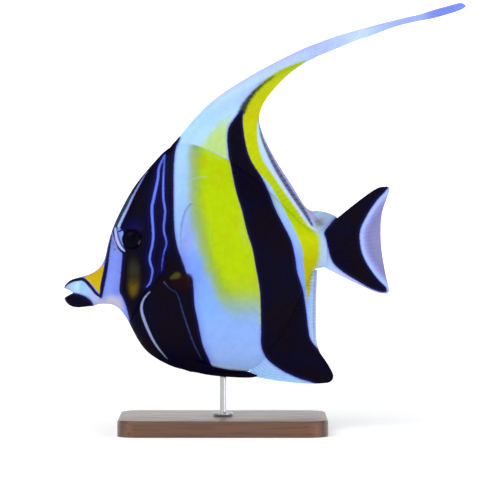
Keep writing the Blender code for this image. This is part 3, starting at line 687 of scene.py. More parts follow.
def place_in(finish, stretch=(1.0, 1.0, 1.0)):
    """The place on the object, in millimetres, stretched for a pattern that runs one way."""
    where = finish.node_tree.nodes.new("ShaderNodeTexCoord").outputs["Object"]
    scale = tuple(part / MM for part in stretch)
    return add_node(finish, "ShaderNodeMapping", {"Vector": where, "Scale": scale})


def noise(finish, size, stretch=(1.0, 1.0, 1.0), detail=3.0):
    """Soft random variation from 0 to 1, with patches of about this size in millimetres."""
    spots = {"Vector": place_in(finish, stretch), "Scale": 1 / size, "Detail": detail}
    return add_node(finish, "ShaderNodeTexNoise", spots)


def ramp(finish, value, low, high, start=0.0, end=1.0):
    """The value taken from the range low to high onto start to end, smoothly and clamped."""
    span = {"Value": value, "From Min": low, "From Max": high, "To Min": start, "To Max": end}
    return add_node(finish, "ShaderNodeMapRange", span, interpolation_type="SMOOTHSTEP")


def count(finish, operation, first, second=0.0):
    return add_node(finish, "ShaderNodeMath", {0: first, 1: second}, operation=operation)


def layer(finish, below, above, amount, blend="MIX"):
    """One colour laid over another by an amount from 0 to 1."""
    mixed = {0: amount, 6: below, 7: above}
    return add_node(finish, "ShaderNodeMix", mixed, 2, data_type="RGBA", blend_type=blend)


def gradient(finish, value, stops):
    """A run of colours along a value, from rows of place, red, green and blue."""
    low, high = stops[0][0], stops[-1][0]
    span = {"Value": value, "From Min": low, "From Max": high}
    share = add_node(finish, "ShaderNodeMapRange", span)
    made = finish.node_tree.nodes.new("ShaderNodeValToRGB")
    finish.node_tree.links.new(share, made.inputs[0])
    ends = made.color_ramp.elements
    while len(ends) < len(stops):
        ends.new(0.5)
    for end, (place, *tone) in zip(ends, stops):
        end.position = (place - low) / (high - low)
        end.color = colour(*tone)
    return made.outputs[0]


def connect(finish, socket, value):
    shader = finish.node_tree.nodes["Principled BSDF"]
    finish.node_tree.links.new(value, shader.inputs[socket])


def bump(finish, *layers):
    """Fine relief from (height, depth in millimetres) pairs, one over another."""
    normal = None
    for height, depth in layers:
        made = {"Height": height, "Strength": 1.0, "Distance": depth * MM}
        if normal is not None:
            made["Normal"] = normal
        normal = add_node(finish, "ShaderNodeBump", made)
    connect(finish, "Normal", normal)


print("ready to mix")

# %% [markdown]
# The coat of colour itself: pale blue that changes with height, then yellow, face and lips, then the
# black bands with a deep blue glow inside their rims, and last the fine bright lines. A little noise
# moves each edge, because a band is made of scales and is never drawn with a ruler. Heights and places
# are millimetres, and an edge has the depths where it starts and ends and how ragged it is. The same
# coat colours skin, scales and fins.

# %% The fish's colours
BLUE_BY_HEIGHT = [
    (25, 158, 204, 250), (36, 158, 190, 254), (46, 148, 184, 255), (62, 134, 178, 252),
    (80, 124, 162, 250), (87, 124, 162, 252), (94, 144, 182, 252), (106, 150, 188, 250),
    (120, 158, 200, 250), (132, 164, 206, 250), (146, 174, 216, 250), (158, 168, 212, 248),
    (170, 182, 214, 248), (185, 174, 200, 246), (196, 170, 190, 246),
]
BLUE_OF_STREAMER = [
    (26, 170, 188, 246), (37.5, 176, 198, 248), (47.5, 194, 217, 250), (57.5, 166, 191, 248),
    (67.5, 156, 175, 242), (77.5, 154, 173, 242), (84, 116, 138, 236), (90, 106, 126, 232),
    (101, 116, 144, 240),
]
YELLOW_BY_DEPTH = [
    (-7.5, 150, 188, 220), (-4, 148, 180, 165), (-1, 150, 180, 112), (1.5, 158, 189, 52),
    (3.5, 173, 204, 12), (5.5, 180, 209, 5), (8, 180, 208, 4),
]
REAR_YELLOW_BY_HEIGHT = [
    (84, 180, 180, 4), (90, 186, 191, 4), (96, 192, 204, 4), (108, 170, 198, 6), (121, 176, 201, 16),
    (141, 188, 204, 4), (160, 192, 197, 10), (175, 184, 198, 18), (186, 164, 190, 40),
]
LIP_BY_PLACE = [
    (-100, 166, 174, 208), (-98, 158, 184, 226), (-95, 172, 212, 236), (-93.5, 178, 218, 242),
    (-91.8, 152, 196, 234), (-90, 152, 198, 238), (-87, 158, 184, 234), (-84, 182, 186, 238),
]
CHEEK_BY_HEIGHT = [
    (66.5, 56, 38, 6), (69.5, 94, 74, 10), (72.5, 98, 82, 18), (75.5, 66, 54, 16), (78, 46, 41, 24),
    (82.5, 46, 46, 38), (88, 20, 18, 14),
]
CRESCENT_BY_DEPTH = [
    (-8, 130, 132, 184), (-4.6, 119, 120, 180), (-3, 132, 136, 204), (-1.7, 154, 170, 232),
    (-0.7, 172, 204, 248),
]
FACE_BY_PLACE = [(-79, 140, 162, 244), (-75.5, 128, 151, 238), (-71, 122, 140, 234)]
BLACK_BY_DEPTH = [(-0.5, 24, 24, 104), (0.5, 22, 18, 72), (1.6, 12, 6, 30)]
BLUE_LINE_BY_DEPTH = [(-0.4, 48, 58, 178), (0.3, 104, 128, 234)]
EDGE_LINE_BY_HEIGHT = [(103, 168, 190, 244), (116, 146, 158, 234), (129, 120, 132, 220)]
TONES = {
    "sail": (146, 180, 246), "fin shade": (150, 158, 236), "low face": (138, 144, 204),
    "throat": (202, 200, 224), "stalk": (168, 196, 230), "lower edge": (190, 196, 232),
    "gold": (184, 180, 12), "olive fade": (152, 180, 92), "lime": (184, 216, 84),
    "rim by blue": (118, 130, 232), "rim by yellow": (178, 194, 70), "breast glow": (106, 132, 236),
    # pale band and highlight: the fin's pale margin, also used for two painted highlight lines.
    "outer margin": (158, 160, 208), "pale band and highlight": (204, 214, 232), "saddle": (208, 176, 14),
    "low violet": (132, 124, 196),
    # free lobe shade is a painted shade on the dorsal fin's free lobe.
    "violet": (68, 64, 108), "smudge": (28, 46, 40), "free lobe shade": (112, 100, 100), "fin arc": (186, 214, 214),
    "black": (11, 4, 19), "midnight": (6, 4, 30), "brow glow": (7, 6, 66), "fin lobe": (26, 5, 14),
    "blue glow": (12, 10, 84), "brow": (126, 158, 238), "front strip": (44, 66, 84), "navy": (10, 8, 70),
    "olive": (80, 82, 14), "front arc": (148, 162, 214), "rear arc": (46, 62, 120),
}
GRAIN_SIZE, WAVER_SIZE, MOTTLE_SIZE, MIDNIGHT_SIZE, SHADE_SIZE = 0.9, 6.0, 11.0, 14.0, 3.0
YELLOW_WAVER, BLACK_WAVER = 3.0, 1.2


class Coat:
    """The colour of one finish, laid on layer by layer."""

    def __init__(self, finish):
        self.finish = finish
        where = place_in(finish)
        self.place = add_node(finish, "ShaderNodeSeparateXYZ", {0: where}, 0)
        self.height = add_node(finish, "ShaderNodeSeparateXYZ", {0: where}, 2)
        self.grain = count(finish, "SUBTRACT", noise(finish, GRAIN_SIZE), 0.5)
        self.waver = count(finish, "SUBTRACT", noise(finish, WAVER_SIZE), 0.5)
        self.tone = self.along_height(BLUE_BY_HEIGHT)

    def value(self, marking):
        return stored(self.finish, marking)

    def along_height(self, stops):
        return gradient(self.finish, self.height, stops)

    def along_body(self, stops):
        return gradient(self.finish, self.place, stops)

    def by_height(self, low, high, start=0.0, end=1.0):
        return ramp(self.finish, self.height, low, high, start, end)

    def by_place(self, low, high, start=0.0, end=1.0):
        return ramp(self.finish, self.place, low, high, start, end)

    def wavering(self, marking, amount):
        """A marking's depth, moved in and out by slow noise."""
        moved = count(self.finish, "MULTIPLY", self.waver, amount)
        return count(self.finish, "ADD", self.value(marking), moved)

    def edge(self, marking, start, end, ragged):
        """From 0 to 1 across a marking's edge, which the grain makes ragged."""
        moved = count(self.finish, "MULTIPLY", self.grain, ragged)
        return ramp(self.finish, count(self.finish, "ADD", self.value(marking), moved), start, end)

    def blend(self, below, above, amount):
        """Two colours, or names of tones, mixed by an amount."""
        ends = (colour(*TONES[tone]) if isinstance(tone, str) else tone for tone in (below, above))
        return layer(self.finish, *ends, amount)

    def lay(self, above, *amounts):
        """Lays a colour over the coat by the product of these amounts."""
        share = amounts[0]
        for amount in amounts[1:]:
            share = count(self.finish, "MULTIPLY", share, amount)
        self.tone = self.blend(self.tone, above, share)


def lay_ground(coat):
    """The pale ground: sail, streamer, face, throat, tail stalk and the rim of the tail."""
    coat.lay("sail", ramp(coat.finish, coat.value("from_front"), 2.0, 10.0), coat.by_height(157, 174, 0, 0.9))
    coat.lay(coat.along_body(BLUE_OF_STREAMER), coat.by_height(186, 192), coat.by_place(20, 30))
    coat.lay("fin shade", coat.value("fin_shade"), 0.6)
    face = coat.by_place(-69, -72)
    coat.lay(coat.blend(coat.along_body(FACE_BY_PLACE), "low face", coat.by_height(87, 96, 0, 0.85)), face)
    coat.lay("throat", face, coat.by_height(70, 66))
    coat.lay("stalk", coat.by_place(20, 26), coat.by_height(114, 108))
    crescent = gradient(coat.finish, coat.value("black"), CRESCENT_BY_DEPTH)
    coat.lay(crescent, coat.by_place(44, 47), coat.by_height(140, 130))
    coat.lay("lower edge", coat.by_place(30, 36), coat.value("lower_edge"))


def lay_yellow(coat):
    """The flank's soft yellow, the rims of the bands, and the yellow behind the rear band."""
    into = coat.wavering("yellow", YELLOW_WAVER)
    mottle = ramp(coat.finish, noise(coat.finish, MOTTLE_SIZE, detail=5.0), 0.5, 0.72, 0, 0.35)
    yellow = coat.blend(gradient(coat.finish, into, YELLOW_BY_DEPTH), "gold", mottle)
    yellow = coat.blend(yellow, "olive fade", coat.by_height(80, 56, 0, 0.9))
    coat.lay(yellow, ramp(coat.finish, into, -6.5, -1.5), coat.by_height(50, 72))
    coat.lay("lime", coat.value("tint"), coat.by_height(161, 149, 0.1, 0.85))
    breast = (coat.by_height(110, 80, 0, 0.4), coat.by_place(-8, -14))
    coat.lay("breast glow", coat.edge("black", -4.5, -0.5, 0.5), *breast)
    rim = coat.blend("rim by blue", "rim by yellow", ramp(coat.finish, into, 0, 3))
    coat.lay(rim, coat.edge("black", -1.3, -0.2, 0.5), 0.55)
    coat.lay("outer margin", coat.edge("outer_margin", -0.6, 0.8, 0.4), 0.9)
    sharp = coat.edge("rear_yellow", -0.3, 0.5, 0.4)
    soft = coat.edge("rear_yellow", -1.6, 1.6, 0.6)
    share = add_node(coat.finish, "ShaderNodeMix", {0: coat.by_place(22, 25), 2: sharp, 3: soft})
    coat.lay(coat.along_height(REAR_YELLOW_BY_HEIGHT), share)


def lay_small_marks(coat):
    """Lips, saddle, and the pale, violet and smudged lines that lie under the black; two pale lines are
    painted highlights, and the free lobe gets a painted shade.
    """
    # Pale margin on the dorsal fin, with painted highlights on the back's ridge and above the pelvic fins.
    coat.lay("pale band and highlight", coat.edge("pale", -0.5, 0.4, 0.4), 0.75)
    coat.lay(coat.along_body(LIP_BY_PLACE), coat.edge("lip", -0.3, 0.3, 0.2))
    coat.lay("saddle", coat.edge("saddle", -0.3, 0.3, 0.2))
    violet = coat.blend("low violet", "violet", coat.by_height(84, 98))
    coat.lay(violet, coat.edge("violet", -0.6, 0.4, 0.5), 0.95)
    coat.lay("smudge", coat.edge("smudge", -1.1, 0.9, 1.5), 0.95)
    # Painted shade over the dorsal fin's free lobe.
    coat.lay("free lobe shade", coat.value("free_lobe_shade"))
    coat.lay("fin arc", coat.edge("fin_arc", -0.6, 0.4, 0.3), 0.36)


def lay_black(coat):
    """The black bands, blue inside their edges, with the brown cheek and the fin's dark root."""
    patches = ramp(coat.finish, noise(coat.finish, MIDNIGHT_SIZE), 0.42, 0.62)
    inner = coat.blend(coat.blend("black", "midnight", patches), "brow glow", coat.value("brow_glow"))
    depth = coat.wavering("black", BLACK_WAVER)
    outer = gradient(coat.finish, depth, BLACK_BY_DEPTH)
    black = coat.blend(outer, inner, ramp(coat.finish, depth, 0.8, 2.4))
    coat.lay(black, coat.edge("black", -0.35, 0.35, 0.5))
    coat.lay(coat.along_height(CHEEK_BY_HEIGHT), coat.value("cheek"))
    coat.lay("fin lobe", coat.value("lobe"), 0.9)


def lay_fine_lines(coat):
    """The bright blue and white lines over the black, each with its own edge."""
    coat.lay("blue glow", coat.edge("blue", -3.0, -0.2, 0.6), 0.68)
    blue_line = gradient(coat.finish, coat.value("blue"), BLUE_LINE_BY_DEPTH)
    coat.lay(blue_line, coat.edge("blue", -0.45, 0.1, 0.7))
    coat.lay("brow", coat.edge("brow", -0.3, 0.4, 0.6))
    coat.lay("front strip", coat.edge("front_strip", -0.3, 0.4, 0.3), 0.8)
    coat.lay(coat.along_height(EDGE_LINE_BY_HEIGHT), coat.edge("edge_line", -0.35, 0.3, 0.5))
    coat.lay("navy", coat.edge("navy", -0.3, 0.3, 0.3))
    coat.lay("olive", coat.value("olive"), 0.75)
    arc = coat.blend("front arc", "rear arc", coat.by_place(-51, -48))
    coat.lay(arc, coat.edge("white", -0.45, 0.2, 0.4))


def coat_of_colour(finish):
    """The colour socket that skin, scales and fins share."""
    coat = Coat(finish)
    lay_ground(coat)
    lay_yellow(coat)
    lay_small_marks(coat)
    lay_black(coat)
    lay_fine_lines(coat)
    shade = ramp(finish, noise(finish, SHADE_SIZE, detail=5.0), 0.3, 0.7, 0.96, 1.03)
    grey = add_node(finish, "ShaderNodeCombineColor", {0: shade, 1: shade, 2: shade})
    return layer(finish, coat.tone, grey, 1.0, "MULTIPLY")


print("black, blue and yellow mixed")

# %% [markdown]
# The skin is wet and velvety, under a thin clear film of slime, which is the shader's coat. Its finest
# grain is a cell pattern in the relief, about half a millimetre in size, with longer soft waves below
# it. The scales of the next cell wear the same finish.

# %% Finish of the skin
SKIN_GRAIN, GRAIN_DEPTH, GRAIN_STRETCH = 0.55, 0.05, (1.0, 0.6, 1.35)
WAVE_SIZE, WAVE_DEPTH, GLOSS_SIZE = 4.0, 0.25, 1.6

skin_finish = new_finish(
    "wet_scaled_skin", roughness=0.5, specular_ior_level=0.03, coat_weight=0.025, coat_roughness=0.15,
    subsurface_weight=0.04, subsurface_scale=0.002,
)
connect(skin_finish, "Base Color", coat_of_colour(skin_finish))
cells = add_node(
    skin_finish, "ShaderNodeTexVoronoi",
    {"Vector": place_in(skin_finish, GRAIN_STRETCH), "Scale": 1 / SKIN_GRAIN, "Randomness": 0.55},
)
waves = noise(skin_finish, WAVE_SIZE, detail=2.0)
domes = ramp(skin_finish, cells, 0.0, 0.7, 1.0, 0.0)
bump(skin_finish, (waves, WAVE_DEPTH), (domes, GRAIN_DEPTH))
connect(skin_finish, "Roughness", ramp(skin_finish, noise(skin_finish, GLOSS_SIZE), 0.3, 0.7, 0.34, 0.5))
settle(
    skin, skin_finish, "skin_yellow", "head", "trunk", "tail_stalk", "upper_jaw", "lower_jaw",
    "gill_cover_left", "gill_cover_right",
)

# %% [markdown]
# A moorish idol feels like fine sandpaper, because small scales cover it, each with a free rear edge.
# They are real plates here. One scale starts as a six-sided cone with a fan for its base, and is pressed
# into a small plate whose front is sunk in the skin and whose rear edge stands a little proud. The plate
# is then repeated in staggered rows with arrays, each copy laid on the skin with its free edge to the
# tail. Scales are smallest on the face and leave out the tip of the snout and the eye. Their own map
# puts each one at its place on the unwrapped flank.

# %% Scales on the flanks
SCALE_ALONG, SCALE_ACROSS = 1.0, 0.8
SCALE_LENGTH, SCALE_WIDTH = 0.75, 0.5
SCALE_LIFT, SCALE_SINK, SCALE_ROOT = 0.05, -0.06, -0.12
SCALED_FROM, SCALED_TO = -86.0, 29.0
SECTION_STEPS, SECTION_SPAN = 240, (0.03, 0.97)
EYE_CLEARANCE, EDGE_ON = 1.6, 0.12
MAP_PATCH, MAP_MARGIN, MAP_SPAN = 0.003, 0.01, 0.48
SCALE_CORNERS, SCALE_CREASE = 6, math.radians(50)


def scale_size(x):
    """Scales are little on the face, full size on the flank and smaller again at the tail."""
    return 0.55 + 0.45 * ease(x, -82.0, -50.0) - 0.2 * ease(x, 12.0, 29.0)


def model_scale():
    """One scale from a cone, with x towards its free edge and z away from the skin."""
    clear_selection()
    bpy.ops.mesh.primitive_cone_add(
        vertices=SCALE_CORNERS, radius1=MM, radius2=0, depth=2 * MM, end_fill_type="TRIFAN",
        rotation=(math.pi, 0, 0),
    )
    bpy.ops.object.transform_apply(rotation=True)
    plate = named("scale")
    spots = points_of(plate)
    apart = np.hypot(spots[:, 0], spots[:, 1])
    rim = apart > 0.5
    free = spots[:, 0] / np.maximum(apart, 1e-9)
    spots[:, 0] = np.where(rim, SCALE_LENGTH * free, 0.0)
    spots[:, 1] = np.where(rim, SCALE_WIDTH * spots[:, 1], 0.0)
    lifted = np.where(rim, np.interp(free, [-1, 0, 1], [SCALE_SINK, 0.0, SCALE_LIFT]), SCALE_LIFT)
    spots[:, 2] = np.where(~rim & (spots[:, 2] < 0), SCALE_ROOT, lifted)
    move_points(plate, spots)
    faces = np.array([list(polygon.vertices) for polygon in plate.data.polygons])
    bpy.data.objects.remove(plate, do_unlink=True)
    return spots, faces


def rows_of_scales():
    """Places along the body and round its section, from belly to back, evenly spaced on the surface."""
    places = []
    x, odd = SCALED_FROM, False
    angle = np.linspace(*SECTION_SPAN, SECTION_STEPS) * math.pi
    while x < SCALED_TO:
        size = float(scale_size(x))
        across = half_width(x) * np.sin(angle) ** keel(x)
        reach = np.where(angle < math.pi / 2, widest(x) - belly(x), back(x) - widest(x))
        z = widest(x) - reach * np.cos(angle)
        run = np.concatenate([[0.0], np.cumsum(np.hypot(np.diff(across), np.diff(z)))])
        first = 0.75 if odd else 0.25
        for station in np.arange(SCALE_ACROSS * size * first, run[-1], SCALE_ACROSS * size):
            spot = (float(np.interp(station, run, curve)) for curve in (across, z, angle / math.pi))
            places.append((x, *spot, size))
        x += SCALE_ALONG * size
        odd = not odd
    return np.array(places)


unit_scale, unit_faces = model_scale()
rows = rows_of_scales()
surface = BVHTree.FromObject(skin, bpy.context.evaluated_depsgraph_get())


def roots_on(sign):
    """The rows that hold a scale on this side, and where each one stands on the skin and faces."""
    kept, roots, normals = [], [], []
    for index, (x, across, z, _, _) in enumerate(rows):
        root, normal, _, _ = surface.find_nearest((x * MM, sign * across * MM, z * MM))
        from_eye = math.hypot(x - EYE_PLACE[0], z - EYE_PLACE[1])
        if from_eye > EYE_RADIUS + EYE_CLEARANCE and abs(normal[1]) > EDGE_ON:
            kept.append(index)
            roots.append(root)
            normals.append(normal)
    return rows[kept], np.array(roots) / MM, np.array(normals)


for side, sign in SIDES.items():
    kept, roots, normals = roots_on(sign)
    share, size = kept[:, 3], kept[:, 4]
    tailward = np.array([1.0, 0.0, 0.0]) - normals[:, :1] * normals
    tailward /= np.linalg.norm(tailward, axis=1, keepdims=True)
    axes = np.stack([tailward, np.cross(normals, tailward), normals], axis=1)
    spots = roots[:, None] + (unit_scale[None] * size[:, None, None]) @ axes
    faces = unit_faces[None] + len(unit_scale) * np.arange(len(kept))[:, None, None]
    mesh = bpy.data.meshes.new("flank_scales_" + side)
    mesh.from_pydata(spots.reshape(-1, 3) * MM, [], faces.reshape(-1, 3))
    coat = bpy.data.objects.new(mesh.name, mesh)
    scene.collection.objects.link(coat)
    paint(coat, on_body=True)
    along_map = MAP_MARGIN + MAP_SPAN * (roots[:, 0] - SCALED_FROM) / (SCALED_TO - SCALED_FROM)
    centre = np.column_stack([0.5 * (sign > 0) + along_map, share])
    patches = centre[:, None] + unit_scale[None, :, :2] * (0.5 * MAP_PATCH / SCALE_LENGTH)
    bake = mesh.uv_layers.new(name="OFBake")
    bake.data.foreach_set("uv", patches.reshape(-1, 2)[faces.ravel()].astype(np.float32).ravel())
    settle(coat, skin_finish, "skin_yellow")
    bpy.ops.object.shade_smooth_by_angle(angle=SCALE_CREASE)

# %% [markdown]
# A fin is a thin sheet carried by rays. A grid is laid between the fin's four edge curves, its points
# are pushed out along each ray as a soft ridge that forks towards the free edge, and Solidify gives
# both faces at once, with a vertex group for how thick each place is. The grid's own coordinates follow
# the rays wherever the fin turns.

# %% A fan of rays
MEMBRANE = 0.5
FORK_WIDTH = 0.13


def patch(base, margin, first, last):
    """A place in the side view for each share across the rays and along them."""
    base, margin, first, last = (along(points) for points in (base, margin, first, last))

    def at(u, v):
        u, v = np.asarray(u)[:, None], np.asarray(v)[:, None]
        flat_u, flat_v = u[:, 0], v[:, 0]
        ruled = (1 - v) * base(flat_u) + v * margin(flat_u) + (1 - u) * first(flat_v) + u * last(flat_v)
        low = (1 - u) * base(0.0) + u * base(1.0)
        high = (1 - u) * margin(0.0) + u * margin(1.0)
        return ruled - (1 - v) * low - v * high

    return at


def make_fin(name, place, rays, across_ray, rows, root, root_end, spine=0.0, ridge=0.4, taper=0.55, fork=0.2):
    """A rayed fin from a grid, with its points from place(u, v) and root as its thickness at the body."""
    clear_selection()
    bpy.ops.mesh.primitive_grid_add(x_subdivisions=rays * across_ray, y_subdivisions=rows, size=MM)
    piece = named(name)
    spots = points_of(piece)
    u, v = np.clip(spots[:, 0] + 0.5, 0, 1), np.clip(spots[:, 1] + 0.5, 0, 1)
    off = np.abs(np.mod(u * rays, 1.0) - 0.5)
    crest = np.exp(-(((off - fork * ease(v, 0.35, 1.0)) / FORK_WIDTH) ** 2))
    sheet = MEMBRANE + (root - MEMBRANE) * ease(v, root_end, 0.0)
    lead = spine * np.maximum(0.0, 1 - u * rays)
    thick = sheet + (ridge * crest + lead) * (1 - taper * v)
    move_points(piece, place(u, v))
    keep_value(piece, "ray", crest)
    keep_value(piece, "lead", np.maximum(0.0, 1 - u * rays / 0.9) * ease(v, 0.1, 0.5))
    keep_value(piece, "out", v)
    group = piece.vertex_groups.new(name="thickness")
    for index, share in enumerate(thick / thick.max()):
        group.add([index], float(share), "REPLACE")
    solid = piece.modifiers.new("both faces", "SOLIDIFY")
    solid.thickness = float(thick.max()) * MM
    solid.offset = 0
    solid.vertex_group = "thickness"
    solid.use_rim = True
    apply_modifiers(piece)
    piece.vertex_groups.clear()
    face_outwards(piece)
    paint(piece)
    return piece


print("ready for fins")

# %% [markdown]
# The dorsal fin is the glory of this fish: it sweeps back in a long pale pennant. Its outline is drawn
# in the side view. The streamer end trails a little to one side, and the free lobe at the foot bends
# out, as soft fins do in water. The streamer is one smooth ribbon here, where the solids have three
# lengths.

# %% Dorsal fin and streamer
DORSAL_MARGIN = [
    (26, 194.3), (26.1, 192), (26, 189.6), (25.3, 187.2), (20.5, 184.8), (12.5, 179.3), (4.8, 171.7),
    (-1.1, 163.5), (-2.9, 155.5), (0.4, 145.5), (6.4, 134.4), (14.3, 122), (19.6, 113.4), (23.4, 110.5),
    (28, 110.3), (32.5, 109.2), (36, 107.2), (35.2, 104.6), (32.2, 102.4), (28.6, 101),
]
DORSAL_SINK, LOBE_FOOT, LOBE_OUT = 4.0, (24.0, 97.6), 5.0
STREAMER_UPPER = [
    (25.2, 194), (36.5, 198.1), (52.5, 202.7), (68.5, 206.8), (77.5, 208.9), (83.5, 210.9), (92.5, 213.4),
    (97.6, 214.7), (99.8, 214.3),
]
STREAMER_LOWER = [
    (25.2, 187.3), (36.5, 191.9), (45.5, 195.6), (52.5, 197.9), (60.5, 201), (68.5, 203.6), (77.5, 205.7),
    (84.5, 207), (92.5, 209.3), (97.6, 211), (100.8, 212.8),
]
STREAMER_DRIFT = 7.0


def drift(x, z):
    """How far the fin's trailing end lies to one side."""
    return STREAMER_DRIFT * ease(x, 5.0, 101.0) ** 1.5 * ease(z, 150.0, 190.0)


def standing(shape, sway):
    """A side-view patch stood up in space, swayed across by a function of its place."""

    def at(u, v):
        x, z = shape(u, v).T
        return np.column_stack([x, sway(x, z, v), z])

    return at


def dorsal_sway(x, z, v):
    lobe = ease(x, 20.0, 33.0) * ease(z, 99.5, 106.5) * (1 - ease(z, 110.0, 118.0))
    return drift(x, z) + LOBE_OUT * lobe


stations = np.linspace(DORSAL_FRONT[0][0], LOBE_FOOT[0], 14)[1:-1]
dorsal_base = [DORSAL_FRONT[0]] + [(a, float(back(a)) - DORSAL_SINK) for a in stations] + [LOBE_FOOT]
shape = patch(dorsal_base, DORSAL_MARGIN, DORSAL_FRONT, [LOBE_FOOT, DORSAL_MARGIN[-1]])
dorsal = make_fin(
    "dorsal_sail", standing(shape, dorsal_sway), rays=44, across_ray=8, rows=70, root=1.8, root_end=0.3,
    spine=0.9,
)
streamer_ends = [[STREAMER_UPPER[end], STREAMER_LOWER[end]] for end in (0, -1)]
shape = patch(*streamer_ends, STREAMER_UPPER, STREAMER_LOWER)
streamer = make_fin(
    "dorsal_pennant", standing(shape, lambda x, z, v: drift(x, z)), rays=4, across_ray=8, rows=220, root=0.9,
    root_end=0.5, ridge=0.35, taper=0.7,
)

# %% [markdown]
# The anal fin hangs below like a keel and ends in a point, and the tail is a fan between two curved
# edges with a hollow rear margin. The rod of the stand enters the belly well in front of them.

# %% Anal fin and tail
ANAL_FRONT = [
    (-11, 34.5), (-5.5, 28.2), (-1.5, 26.9), (8.5, 25.3), (17.5, 24.4), (25.8, 24.1), (31.4, 24.5),
]
ANAL_MARGIN = [
    (31.4, 24.5), (33.2, 25.4), (34.2, 27.4), (33.5, 30.2), (30.6, 35.2), (27.3, 40.2), (25.8, 46),
    (25.5, 54), (25.6, 66), (26, 76), (26.3, 81.2),
]
ANAL_SINK = 4.0
TAIL_UPPER = [(26.5, 99), (31, 102.8), (37.5, 108.1), (47.5, 116), (56, 121.8), (61.2, 122.8)]
TAIL_MARGIN = [
    (61.2, 122.8), (62.3, 120.8), (58.7, 110), (57.9, 100), (58.5, 90), (60.7, 77.5), (62.3, 71),
    (61.2, 69),
]
TAIL_LOWER = [(26.5, 84.2), (32.5, 80.8), (40, 77), (48.5, 72.9), (56, 69.7), (61.2, 69)]
TAIL_BEND = 3.0

anal_base = [ANAL_FRONT[0]] + [(a, float(belly(a)) + ANAL_SINK) for a in np.linspace(-7.3, 22.0, 9)]
shape = patch(anal_base, ANAL_MARGIN, ANAL_FRONT, [anal_base[-1], ANAL_MARGIN[-1]])
anal = make_fin(
    "anal_keel", standing(shape, lambda x, z, v: 0 * x), rays=36, across_ray=8, rows=60, root=1.8,
    root_end=0.3, spine=0.9,
)
shape = patch([TAIL_UPPER[0], TAIL_LOWER[0]], TAIL_MARGIN, TAIL_UPPER, TAIL_LOWER)
tail = make_fin(
    "tail_fan", standing(shape, lambda x, z, v: TAIL_BEND * ease(x, 32.0, 62.0)), rays=26, across_ray=10,
    rows=70, root=2.2, root_end=0.5, fork=0.24,
)

# %% [markdown]
# The paired fins: the pectoral fin is a glassy fan that stands off the flank on a fleshy base, and the
# pelvic fin is a black blade folded along the belly. Each side has its own mesh, made by the same lines
# with the side's sign.

# %% Pectoral and pelvic fins
PECTORAL_LEADING = [(-39.8, 77.2), (-41, 84), (-42.3, 93), (-42.3, 103), (-40.3, 110.5), (-37.6, 114.6)]
PECTORAL_MARGIN = [
    (-37.6, 114.6), (-33, 113.6), (-28.8, 108.6), (-26.3, 100), (-26.2, 90.5), (-28.6, 82), (-33.4, 75),
]
PECTORAL_TRAILING = [(-38.6, 72.6), (-36.2, 73.4), (-33.4, 75)]
PECTORAL_FLARE = 9.0
PELVIC_UPPER = [(-43, 36.6), (-36, 35.8), (-27, 33), (-18, 31), (-9, 30), (-4, 28.6)]
PELVIC_LOWER = [(-43.4, 32.8), (-35.5, 30.1), (-27, 28.4), (-17, 27.5), (-8, 27.2), (-4, 27.8)]
PELVIC_STAND_OFF, PAIRED_SINK = 2.5, 1.6

pectoral_shape = patch(
    [PECTORAL_LEADING[0], PECTORAL_TRAILING[0]], PECTORAL_MARGIN, PECTORAL_LEADING, PECTORAL_TRAILING
)
pelvic_shape = patch(
    [PELVIC_UPPER[0], PELVIC_LOWER[0]], [PELVIC_UPPER[-1], PELVIC_LOWER[-1]], PELVIC_UPPER, PELVIC_LOWER
)
pectorals, pelvics = {}, {}
for side, sign in SIDES.items():

    def spread(x, z, v):
        return sign * (flank(x, z) - PAIRED_SINK * ease(v, 0.15, 0.0) + PECTORAL_FLARE * v**1.3)

    def folded(x, z, v):
        return sign * (flank(x, z) - PAIRED_SINK * ease(v, 0.3, 0.0) + PELVIC_STAND_OFF * ease(v, 0.0, 0.4))

    pectorals[side] = make_fin(
        "pectoral_fan_" + side, standing(pectoral_shape, spread), rays=18, across_ray=10, rows=50, root=2.6,
        root_end=0.25, ridge=0.25,
    )
    pelvics[side] = make_fin(
        "pelvic_blade_" + side, standing(pelvic_shape, folded), rays=7, across_ray=8, rows=60, root=2.0,
        root_end=0.35, spine=0.9,
    )
    depths = pelvics[side].data.attributes["black"]
    depths.data.foreach_set("value", np.full(len(depths.data), FAR, np.float32))

# %% [markdown]
# Fins are skin stretched over rays, so they carry the body's colours, with the rays a little paler
# outside the black and yellow. Along each ray runs fine segmenting, which the relief gives. The
# pectoral fins are nearly clear: there the sheet lets most of the light through and only its rays and
# its edge show.

# %% Finish of the fins
OFF_MARK = (0.5, -1)
LEAD_TONE, LEAD_STRENGTH = colour(170, 160, 222), 0.45
SEGMENTS, SEGMENT_DEPTH = 300.0, 0.05
FIN_GRAIN, FIN_GRAIN_DEPTH = 0.8, 0.06
GLASS_SHEET, GLASS_ROOT = colour(150, 172, 225), colour(30, 7, 15)
GLASS_RAY, RAY_ALPHA, FIRST_RAY_ALPHA = colour(52, 58, 96), 0.016, 0.4


